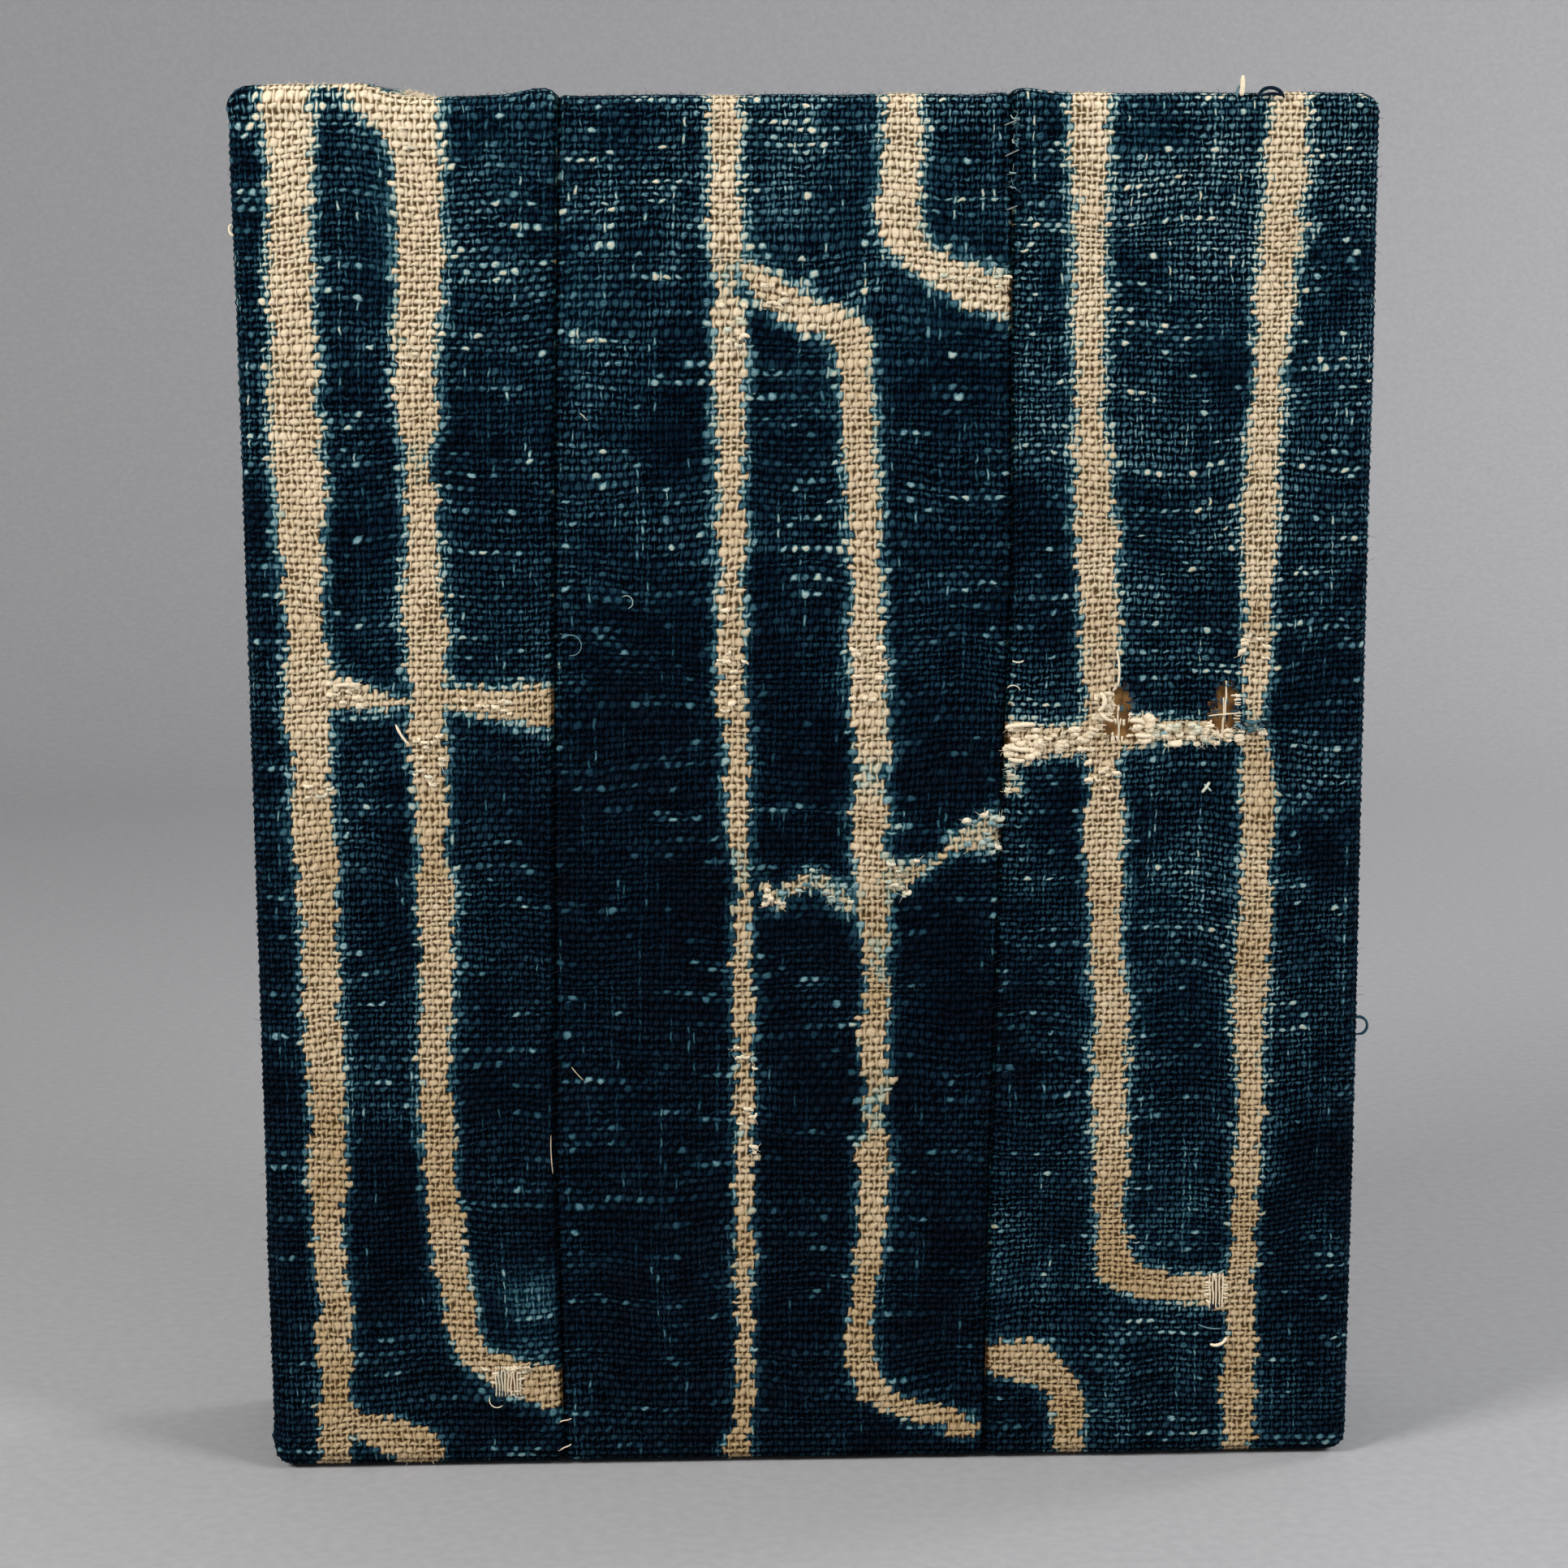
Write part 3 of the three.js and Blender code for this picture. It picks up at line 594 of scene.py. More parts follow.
def yarn_noise(x, z, warp, pick, is_weft, wide, tall, seed):
    """Noise that changes from yarn to yarn and slowly along each."""
    if is_weft:
        return smooth_noise(x / wide, pick * 1.0, seed)
    return smooth_noise(warp * 1.0, z / tall, seed)


def deep_dye(name, spec, x, z, warp, pick, is_weft, seed):
    """How deep the indigo is away from the lines, with its runs of floats that took little dye."""
    deep = np.interp(z, LEVELS, DEEPEST_DYE)
    deep = deep + 0.05 * smooth_noise(x / 16, z / 18, seed + 4) + 0.04 * smooth_noise(x / 5, z / 6, seed + 5)
    deep = deep + 0.12 * (hashed(warp, pick, np.int64(seed + 7)) - 0.5)
    yarn_luck = yarn_noise(x, z, warp, pick, is_weft, 9.0, 14.0, seed + 8)
    deep = deep - 0.07 * yarn_luck - thinner_dye(name, x, z)
    pale_run = smooth_step((yarn_luck - 0.6) / 0.3)
    if is_weft:
        pale_run = np.maximum(pale_run, chosen_runs(name, x, z, spec["pick"]))
    chance = 0.02 * np.interp(z, [0, 120, 250], [0.25, 0.8, 2.2]) + (0.5 if is_weft else 0.3) * pale_run
    paleness = 0.36 * hashed(warp, pick, np.int64(seed + 10)) * np.interp(z, [0, 120, 230], [0.6, 0.7, 1.1])
    deep = deep * (1.0 - 0.1 * pale_run)
    return np.where(hashed(warp, pick, np.int64(seed + 9)) < chance, deep * (1.0 - (0.08 + paleness)), deep)


def dye_levels(name, spec, x, z, warp, pick, is_weft):
    """How deep the dye is on the float at each crossing: 0 is undyed cotton and 1 the deepest indigo."""
    seed = spec["seed"] + (100 if is_weft else 200)
    depth, crept = stroke_depth(name, x, z)
    ragged = 0.55 * smooth_noise(x / 5.5, z / 4.5, seed % 100 + 1)
    if is_weft:
        ragged += 0.65 * yarn_noise(x, z, warp, pick, True, 5.0, 3, seed + 2)
    else:
        ragged += 0.4 * yarn_noise(x, z, warp, pick, False, 5.0, 3, seed)
    ragged += 0.40 * (2 * hashed(warp, pick, np.int64(seed + 3)) - 1)
    depth = depth + ragged
    deep = deep_dye(name, spec, x, z, warp, pick, is_weft, seed)
    # Beside a cream line the dye is thinner, and inside it is nearly none
    luck = hashed(warp, pick, np.int64(seed + 7))
    halo = smooth_step((depth + 2.3) / 2.5) * np.interp(z, [20, 120, 230], [0.34, 0.5, 0.66])
    deep = deep * (1.0 - halo * (0.35 + 0.65 * luck))
    inside = smooth_step((depth - 0.2) / 0.5)
    undyed = 0.03 + 0.06 * luck + 0.42 * crept * (0.4 + luck)
    edge = 0.18 * smooth_step(1.0 - (depth - 0.4) / 0.9) * (luck > 0.55)
    undyed = undyed + edge * np.interp(z, [20, 160], [0.4, 1.0])
    return np.clip(deep + (undyed - deep) * inside, 0.0, 1.0)


def painted_seam_shade(spec, x, z):
    """Painted shade in the crease beside each seam, as the share of brightness that the cloth keeps there."""
    light = np.ones(x.shape)
    for seam in spec["seams"]:
        if seam is not None:
            light *= 1.0 - 0.9 * np.exp(-(((x - seam_x(seam, z)) / 0.6) ** 2))
    return light


def browning_levels(x, z, seed):
    """How much browner and darker the cotton is drawn, most towards the bottom."""
    browning = np.interp(z, [-60, 0, 120, 200, 260, 320], [0.95, 0.95, 0.62, 0.36, 0.08, 0.1])
    browning = browning + 0.22 * smooth_noise(x / 11, z / 9, seed) + 0.1 * smooth_noise(x / 2.5, z / 2.5, seed)
    return np.clip(browning, 0, 1)


# Meshes
def worn_reach(worn, x, z):
    """How far a place is from the middle of a worn place, where 1 is on its rounded outline."""
    (low_x, low_z), (high_x, high_z) = worn["low"], worn["high"]
    across = np.abs(x - (low_x + high_x) / 2) / ((high_x - low_x) / 2)
    up = np.abs(z - (low_z + high_z) / 2) / ((high_z - low_z) / 2)
    return (across**WORN_CORNER + up**WORN_CORNER) ** (1 / WORN_CORNER)


def in_scene(name, data):
    made = bpy.data.objects.new(name, data)
    bpy.context.scene.collection.objects.link(made)
    return made


def new_mesh_object(name, points, groups, material):
    """A smooth-shaded object from points and from groups of faces that have the same number of corners."""
    mesh = bpy.data.meshes.new(name)
    sizes = np.concatenate([np.full(len(group), group.shape[1]) for group in groups])
    corners = np.concatenate([group.ravel() for group in groups]).astype(np.int32)
    starts = np.concatenate([[0], np.cumsum(sizes)[:-1]]).astype(np.int32)
    mesh.vertices.add(len(points))
    mesh.vertices.foreach_set("co", (points * MM).astype(np.float32).ravel())
    mesh.loops.add(len(corners))
    mesh.loops.foreach_set("vertex_index", corners)
    mesh.polygons.add(len(sizes))
    mesh.polygons.foreach_set("loop_start", starts)
    mesh.update(calc_edges=True)
    mesh.validate()
    mesh.polygons.foreach_set("use_smooth", np.ones(len(mesh.polygons), bool))
    mesh.materials.append(material)
    made = in_scene(name, mesh)
    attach(made, "root")
    return made


def face_values(made, name, values):
    made.data.attributes.new(name, "FLOAT", "FACE").data.foreach_set("value", values.astype(np.float32))


def crossing_of(warps, picks, weft):
    """The nearest crossing at which the weft (or the warp) is on top, for the middle of each quad."""
    middle_warp, middle_pick = warps.mean(axis=1), picks.mean(axis=1)
    warp, pick = np.round(middle_warp), np.round(middle_pick)
    weft_up = (warp + pick) % 2 < 0.5
    beside_warp = warp + np.where(middle_warp >= warp, 1, -1)
    beside_pick = pick + np.where(middle_pick >= pick, 1, -1)
    if weft:
        return np.where(weft_up, warp, beside_warp), pick
    return warp, np.where(weft_up, beside_pick, pick)


def worn_away(name, spec, middles):
    """Which quads lie in the worn places of a strip."""
    gone = np.zeros(len(middles), bool)
    x, z = middles[:, 0], middles[:, 2]
    for worn in WORN:
        if worn["strip"] == name:
            reach = worn_reach(worn, x, z) + 0.35 * smooth_noise(x / 1.1, z / 0.9, spec["seed"])
            gone |= (reach <= 1.0) & (middles[:, 1] <= FRONT_Y)
    return gone


def woven_strip(name, material):
    """One strip of cloth, with the yarn numbers and the dye, browning, crown wear and painted highlight, and
    painted seam shade that its material reads.
    """
    spec = STRIPS[name]
    lines = strip_lines(spec)
    sides = sheet_faces(lines)
    corners, warps, picks = (np.concatenate([side[part] for side in sides]) for part in (1, 2, 3))
    weaves = [np.full(side[2].shape, 1.0 if side[0] in ("front", "left", "right") else 0.6) for side in sides]
    counts = (len(lines["x"]), len(lines["y"]), len(lines["z"]))
    keys = (corners[..., 0] * counts[1] + corners[..., 1]) * counts[2] + corners[..., 2]
    _, first, numbers = np.unique(keys.ravel(), return_index=True, return_inverse=True)
    grid = (corners.reshape(-1, 3)[first], warps.ravel()[first], picks.ravel()[first])
    points, _ = surface_points(spec, lines, *grid, np.concatenate(weaves).ravel()[first])
    points[:, 2] = np.maximum(points[:, 2], 0.0)
    faces = numbers.reshape(-1, 4)
    keep = ~worn_away(name, spec, points[faces].mean(axis=1))
    faces, warps, picks = faces[keep], warps[keep], picks[keep]
    used, renumbered = np.unique(faces.ravel(), return_inverse=True)
    made = new_mesh_object(f"woven_{name}", points[used], [renumbered.reshape(-1, 4)], material)
    yarn = made.data.uv_layers.new(name="yarn")
    yarn.data.foreach_set("uv", np.stack([warps, picks], axis=-1).astype(np.float32).ravel())
    for kind in ("weft", "warp"):
        warp, pick = crossing_of(warps, picks, kind == "weft")
        x, z = flat_place(spec, lines, warp, pick)
        face_values(made, f"{kind}_dye", dye_levels(name, spec, x, z, warp, pick, kind == "weft"))
    x, z = flat_place(spec, lines, warps.mean(axis=1), picks.mean(axis=1))
    # How much browner and darker the cotton is drawn, most towards the bottom
    face_values(made, "browning", browning_levels(x, z, spec["seed"]))
    # Paling of the float crowns: partly wear, partly painted highlight
    face_values(made, "rub_and_highlight", rub_and_highlight_levels(name, x, z, spec["seed"]))
    # Painted shade in the crease beside each seam
    face_values(made, "light", painted_seam_shade(spec, x, z))
    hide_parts(f"strip_{name}")
    return made, lines


# Materials
def solid(colour):
    return (*linear(colour), 1.0)


class Tree:
    """A short way to write a material's nodes."""

    def __init__(self, name):
        self.material = bpy.data.materials.new(name)
        self.material.use_nodes = True
        self.nodes = self.material.node_tree.nodes
        self.nodes.clear()
        self.output = self.nodes.new("ShaderNodeOutputMaterial")
        self.shader = self.nodes.new("ShaderNodeBsdfPrincipled")
        self.join(self.shader.outputs[0], self.output.inputs["Surface"])

    def join(self, source, target):
        self.material.node_tree.links.new(source, target)

    def feed(self, target, value):
        if isinstance(value, bpy.types.NodeSocket):
            self.join(value, target)
        else:
            target.default_value = value

    def math(self, operation, first, second=0.0):
        node = self.nodes.new("ShaderNodeMath")
        node.operation = operation
        self.feed(node.inputs[0], first)
        self.feed(node.inputs[1], second)
        return node.outputs[0]

    def add(self, first, second):
        return self.math("ADD", first, second)

    def take(self, first, second):
        return self.math("SUBTRACT", first, second)

    def times(self, first, second):
        return self.math("MULTIPLY", first, second)

    def attribute(self, name, output="Fac"):
        node = self.nodes.new("ShaderNodeAttribute")
        node.attribute_name = name
        return node.outputs[output]

    def parts(self, vector):
        node = self.nodes.new("ShaderNodeSeparateXYZ")
        self.join(vector, node.inputs[0])
        return node.outputs

    def vector(self, x, y, z=0.0):
        node = self.nodes.new("ShaderNodeCombineXYZ")
        for socket, value in zip(node.inputs, (x, y, z)):
            self.feed(socket, value)
        return node.outputs[0]

    def noise(self, vector, scale=1.0, detail=2.0, roughness=0.5, output=0):
        node = self.nodes.new("ShaderNodeTexNoise")
        self.join(vector, node.inputs["Vector"])
        node.inputs["Scale"].default_value = scale
        node.inputs["Detail"].default_value = detail
        node.inputs["Roughness"].default_value = roughness
        return node.outputs[output]

    def place(self):
        return self.nodes.new("ShaderNodeTexCoord").outputs["Object"]

    def mapped(self, vector, scale):
        node = self.nodes.new("ShaderNodeMapping")
        self.join(vector, node.inputs["Vector"])
        node.inputs["Scale"].default_value = scale
        return node.outputs[0]

    def ramp(self, value, stops):
        node = self.nodes.new("ShaderNodeValToRGB")
        elements = node.color_ramp.elements
        while len(elements) < len(stops):
            elements.new(0.5)
        for element, (position, colour) in zip(elements, stops):
            element.position = position
            element.color = solid(colour)
        self.join(value, node.inputs[0])
        return node.outputs[0]

    def mix(self, share, first, second, kind="RGBA", blend="MIX"):
        node = self.nodes.new("ShaderNodeMix")
        node.data_type = kind
        node.blend_type = blend
        first_input, output = {"FLOAT": (2, 0), "VECTOR": (4, 1), "RGBA": (6, 2)}[kind]
        self.feed(node.inputs[0], share)
        self.feed(node.inputs[first_input], first)
        self.feed(node.inputs[first_input + 1], second)
        return node.outputs[output]

    def remap(self, value, low, high, new_low=0.0, new_high=1.0, smooth=True):
        node = self.nodes.new("ShaderNodeMapRange")
        node.interpolation_type = "SMOOTHSTEP" if smooth else "LINEAR"
        self.feed(node.inputs[0], value)
        for socket, number in zip(node.inputs[1:5], (low, high, new_low, new_high)):
            socket.default_value = number
        return node.outputs[0]

    def bump(self, height, distance, strength=1.0):
        node = self.nodes.new("ShaderNodeBump")
        node.inputs["Strength"].default_value = strength
        node.inputs["Distance"].default_value = distance
        self.join(height, node.inputs["Height"])
        return node.outputs[0]

    def finish(self, colour, roughness, normal=None, **sockets):
        self.feed(self.shader.inputs["Base Color"], colour)
        self.feed(self.shader.inputs["Roughness"], roughness)
        if normal is not None:
            self.join(normal, self.shader.inputs["Normal"])
        for name, value in sockets.items():
            self.shader.inputs[name.replace("_", " ")].default_value = value
        return self.material


def linear(colour):
    """A colour of 0 to 255 as seen on a screen, as the shader's numbers."""
    shares = np.asarray(colour, float) / 255.0
    return tuple(np.where(shares <= 0.04045, shares / 12.92, ((shares + 0.055) / 1.055) ** 2.4))


DYE_STOPS = [
    (0.00, (226, 209, 181)),
    (0.10, (217, 203, 177)),
    (0.22, (182, 190, 174)),
    (0.36, (118, 148, 152)),
    (0.50, (56, 92, 103)),
    (0.64, (24, 53, 67)),
    (0.78, (7, 28, 42)),
    (0.90, (2, 13, 26)),
    (1.00, (1, 5, 13)),
]


# The drawn yarns, in shares of their spacing: the half widths of thin and thick ones, how thick they are, how
# much they narrow where they dip and how flat their crowns are
WEFT_HALVES, WARP_HALVES = (0.29, 0.61), (0.19, 0.36)
WEFT_SHAPE = {"thickness": 1.2, "narrowing": 0.5, "flatness": 2.3}
WARP_SHAPE = {"thickness": 1.0, "narrowing": 0.25, "flatness": 2.0}
WEFT_ABOVE_WARP, GAP_HEIGHT, RELIEF_METRES = 0.02, -0.62, 0.00042

# Colours that the cotton is browned to, most towards the bottom, and of dust, and how fast red, green and blue
# darken in the painted shade of the gaps
BROWNED, DUSTY, DUST_SHARE = (198, 184, 162), (150, 136, 108), 0.009
UNDYED_SHADOW, DYED_SHADOW = (1.0, 1.17, 1.42), (1.4, 0.74, 0.68)


def yarn_height(tree, along, off, half, thickness, narrowing, flatness):
    """The height of a wavy round yarn, which is thinner where it dips."""
    wave = tree.take(0.5, tree.math("POWER", along, flatness))
    half_here = tree.times(half, tree.take(1.0, tree.times(tree.times(along, along), narrowing)))
    share = tree.math("DIVIDE", off, half_here)
    dome = tree.math("SQRT", tree.math("MAXIMUM", tree.take(1.0, tree.times(share, share)), 0.0))
    return tree.add(wave, tree.take(tree.times(dome, thickness), thickness / 2))


def weave_heights(tree, warp, pick, lean):
    """How high the weft and the warp stand at a place in the weave."""
    warp_number, pick_number = (tree.math("FLOOR", tree.add(yarn, 0.5)) for yarn in (warp, pick))
    past_warp, past_pick = tree.take(warp, warp_number), tree.take(pick, pick_number)
    off_warp, off_pick = tree.math("ABSOLUTE", past_warp), tree.math("ABSOLUTE", past_pick)
    warp_up = tree.math("FLOORED_MODULO", tree.add(warp_number, pick_number), 2.0)
    # Each float lies at a slant of its own
    past_float = tree.take(past_warp, tree.times(warp_up, tree.math("SIGN", past_warp)))
    slant = tree.times(tree.take(lean, 0.42), 1.1)
    off_weft = tree.math("ABSOLUTE", tree.take(past_pick, tree.times(slant, past_float)))
    # How far along its own yarn a place is from the nearest crown, from 0 there to 1 where the yarn is under
    along_weft = tree.add(off_warp, tree.times(warp_up, tree.take(1.0, tree.times(off_warp, 2.0))))
    to_crown = tree.times(warp_up, tree.take(1.0, tree.times(off_pick, 2.0)))
    along_warp = tree.take(tree.take(1.0, off_pick), to_crown)
    slub = tree.noise(tree.vector(tree.times(warp, 0.23), tree.times(pick_number, 5.37)), detail=0.0)
    thin = tree.noise(tree.vector(tree.times(warp_number, 4.71), tree.times(pick, 0.17)), detail=0.0)
    weft_half = tree.remap(slub, 0.25, 0.75, *WEFT_HALVES, smooth=False)
    warp_half = tree.remap(thin, 0.25, 0.75, *WARP_HALVES, smooth=False)
    weft_height = yarn_height(tree, along_weft, off_weft, weft_half, **WEFT_SHAPE)
    warp_height = yarn_height(tree, along_warp, off_warp, warp_half, **WARP_SHAPE)
    return tree.add(weft_height, WEFT_ABOVE_WARP), warp_height


def weave_colour(tree, height, fibre, weft_on_top):
    """The dye, paled on the crowns by wear and painted highlight, with its browning, dust and painted shade in
    the gaps.
    """
    dye = tree.mix(weft_on_top, tree.attribute("warp_dye"), tree.attribute("weft_dye"), "FLOAT")
    # Crowns of the floats drawn paler: partly wear, partly painted highlight
    crest = tree.times(tree.remap(height, 0.5, 1.08), tree.remap(fibre, 0.3, 0.65, 0.5, 1.3, smooth=False))
    dye = tree.take(dye, tree.times(crest, tree.attribute("rub_and_highlight")))
    dye = tree.add(dye, tree.times(tree.take(fibre, 0.5), 0.14))
    colour = tree.ramp(dye, DYE_STOPS)
    browned = tree.mix(1.0, colour, solid(BROWNED), blend="MULTIPLY")
    undyed = tree.remap(dye, 0.35, 0.1, 0.0, 1.0)
    # Undyed cotton drawn browner and darker, most towards the bottom
    colour = tree.mix(tree.times(tree.attribute("browning"), undyed), colour, browned)
    dust = tree.times(tree.times(crest, tree.attribute("browning")), DUST_SHARE)
    colour = tree.mix(dust, colour, solid(DUSTY))
    shade = tree.remap(height, -0.38, 1.0, 0.02, 1.04, smooth=False)
    lit = tree.remap(fibre, 0.25, 0.75, 0.78, 1.15, smooth=False)
    # Brighter and darker fibres, and the painted shade in the crease beside each seam, scale the shade
    shade = tree.times(tree.times(shade, lit), tree.attribute("light"))
    # Gaps between the yarns are dark, a little brown where they are undyed and blue where they are dyed
    shadow = tree.nodes.new("ShaderNodeCombineColor")
    for socket, undyed_power, dyed_power in zip(shadow.inputs[:3], UNDYED_SHADOW, DYED_SHADOW):
        power = tree.remap(dye, 0.2, 0.5, undyed_power, dyed_power)
        tree.join(tree.math("POWER", shade, power), socket)
    return tree.mix(1.0, colour, shadow.outputs[0], blend="MULTIPLY")


def woven_material():
    """The weave drawn from yarn numbers: which yarn is on top, its round shape, its twist and its own dye."""
    tree = Tree("indigo_weave")
    warp, pick, _ = tree.parts(tree.attribute("yarn", "Vector"))
    coarse = tree.vector(tree.times(warp, 0.8), tree.times(pick, 0.8))
    lumps = tree.parts(tree.noise(coarse, detail=0.0, output=1))
    warp = tree.add(warp, tree.times(tree.take(lumps[0], 0.5), 0.65))
    pick = tree.add(pick, tree.times(tree.take(lumps[1], 0.5), 0.55))
    weft_height, warp_height = weave_heights(tree, warp, pick, lumps[2])
    weft_on_top = tree.remap(tree.take(weft_height, warp_height), -0.08, 0.08)
    height = tree.math("MAXIMUM", tree.math("MAXIMUM", weft_height, warp_height), GAP_HEIGHT)
    # Twist and loose fibre, along whichever yarn shows
    twist = tree.add(tree.times(warp, 1.6), tree.times(pick, 1.1))
    along_weft = tree.vector(twist, tree.times(pick, 10.0))
    along_warp = tree.vector(tree.times(warp, 10.0), twist)
    fibre = tree.noise(tree.mix(weft_on_top, along_warp, along_weft, "VECTOR"), detail=2.0, roughness=0.65)
    colour = weave_colour(tree, height, fibre, weft_on_top)
    normal = tree.bump(tree.add(height, tree.times(fibre, 0.35)), RELIEF_METRES)
    return tree.finish(colour, 0.95, normal, Specular_IOR_Level=0.02, Sheen_Weight=0.004, Sheen_Roughness=0.6,
                       Sheen_Tint=(0.6, 0.8, 0.85, 1.0))


def yarn_material():
    """Single yarns, loose ends and fibres, each with its own dye."""
    tree = Tree("loose_yarn")
    dye = tree.attribute("dye")
    place = tree.place()
    fibre = tree.noise(place, scale=2600.0, detail=2.0)
    colour = tree.ramp(tree.add(dye, tree.times(tree.take(fibre, 0.5), 0.12)), DYE_STOPS)
    brown = tree.mix(tree.attribute("brown"), colour, solid((150, 104, 62)))
    normal = tree.bump(tree.noise(place, scale=3800.0, detail=1.0), 0.00012)
    return tree.finish(brown, 0.95, normal, Specular_IOR_Level=0.08, Sheen_Weight=0.03, Sheen_Roughness=0.5)


def board_material():
    """The brown pressed board behind the cloth."""
    tree = Tree("brown_board")
    place = tree.place()
    flecks = tree.noise(tree.mapped(place, (900, 900, 260)), detail=4.0, roughness=0.65)
    cloud = tree.noise(place, scale=38.0, detail=3.0)
    colour = tree.ramp(flecks, [(0.25, (128, 88, 44)), (0.5, (160, 116, 64)), (0.75, (180, 138, 84))])
    colour = tree.mix(tree.remap(cloud, 0.35, 0.7, 0.0, 0.3), colour, solid((122, 84, 46)))
    normal = tree.bump(flecks, 0.00015, 0.5)
    return tree.finish(colour, tree.remap(cloud, 0.3, 0.7, 0.62, 0.78), normal, Specular_IOR_Level=0.3)


def bar_material(name, along):
    """Planed softwood with straight grain along one axis."""
    tree = Tree(name)
    stretch = [1.0, 1.0, 1.0]
    stretch[along] = 0.045
    place = tree.mapped(tree.place(), tuple(stretch))
    grain = tree.noise(place, scale=420.0, detail=3.0, roughness=0.6)
    band = tree.noise(place, scale=120.0, detail=1.0)
    pores = tree.noise(place, scale=2300.0, detail=2.0, roughness=0.7)
    late = tree.remap(grain, 0.42, 0.62)
    colour = tree.mix(late, solid((214, 180, 132)), solid((184, 142, 92)))
    colour = tree.mix(tree.remap(band, 0.35, 0.7, 0.0, 0.4), colour, solid((196, 152, 100)))
    colour = tree.mix(tree.remap(pores, 0.56, 0.72, 0.0, 0.35), colour, solid((132, 94, 58)))
    normal = tree.bump(tree.add(tree.times(grain, 0.4), pores), 0.00010, 0.5)
    return tree.finish(colour, tree.remap(grain, 0.3, 0.7, 0.55, 0.7), normal, Specular_IOR_Level=0.3)


# Loose yarn, sewing and fibres
def unit(vectors, least=0.0):
    return vectors / np.maximum(np.linalg.norm(vectors, axis=-1, keepdims=True), least)


def rings(first, second, sides):
    """Rings of unit size round places, from two directions square to the yarn at each."""
    angles = np.arange(sides) * 2 * math.pi / sides
    return np.cos(angles)[None, :, None] * first[:, None] + np.sin(angles)[None, :, None] * second[:, None]


class Yarns:
    """Gathers round yarns and joins them in one mesh."""

    def __init__(self):
        self.points, self.quads, self.caps, self.dyes, self.browns = [], [], [], [], []
        self.count = 0

    def yarn(self, places, radius, dye, brown=0.0, sides=5, taper=0.35, lumps=0.15, seed=1):
        places = np.asarray(places, float)
        steps = len(places)
        along = unit(np.gradient(places, axis=0), 1e-9)
        guide = np.where(np.abs(along[:, 1:2]) < 0.9, [[0.0, 1.0, 0.0]], [[1.0, 0.0, 0.0]])
        first = unit(np.cross(along, guide), 1e-9)
        second = np.cross(along, first)
        share = np.linspace(0, 1, steps)
        size = radius * (1 - (1 - taper) * np.abs(2 * share - 1) ** 6)
        size = size * (1 + lumps * smooth_noise(np.arange(steps) * 0.9, 0, seed))
        points = places[:, None] + rings(first, second, sides) * size[:, None, None]
        here = np.arange(sides)
        after = (here + 1) % sides
        row = self.count + np.arange(steps - 1)[:, None] * sides
        quads = np.stack([row + here, row + after, row + after + sides, row + here + sides], axis=-1)
        quads = quads.reshape(-1, 4)
        self.points += [points.reshape(-1, 3), places[:1], places[-1:]]
        last, tip = self.count + (steps - 1) * sides, self.count + steps * sides
        caps = np.concatenate([
            np.stack([np.full(sides, tip), self.count + after, self.count + here], axis=-1),
            np.stack([np.full(sides, tip + 1), last + here, last + after], axis=-1),
        ])
        self.quads.append(quads)
        self.caps.append(caps)
        self.dyes.append(np.full(len(quads), dye))
        self.browns.append(np.full(len(quads), brown))
        self.count += steps * sides + 2

    def on_front(self, rows, steps, radius, dye, brown=0.0, **shape):
        """A yarn through rows of x, height and height over the cloth."""
        x, z, over = np.asarray(rows, float).T
        places = np.stack([x, front_y(x, z) - over, z], axis=-1)
        self.yarn(curve_through(places, steps), radius, dye, brown, **shape)

    def made(self, name, material):
        quads, caps = np.concatenate(self.quads), np.concatenate(self.caps)
        made = new_mesh_object(name, np.concatenate(self.points), [quads, caps], material)
        cap_repeat = [len(group) for group in self.caps]
        cap_dyes = np.repeat([group[0] for group in self.dyes], cap_repeat)
        cap_browns = np.repeat([group[0] for group in self.browns], cap_repeat)
        face_values(made, "dye", np.concatenate([*self.dyes, cap_dyes]))
        face_values(made, "brown", np.concatenate([*self.browns, cap_browns]))
        return made


def front_y(x, z):
    """The y of the cloth's front face."""
    return FRONT_Y - CLOTH_OFFSET - soft_rise(x, np.full_like(x, FRONT_Y), z)


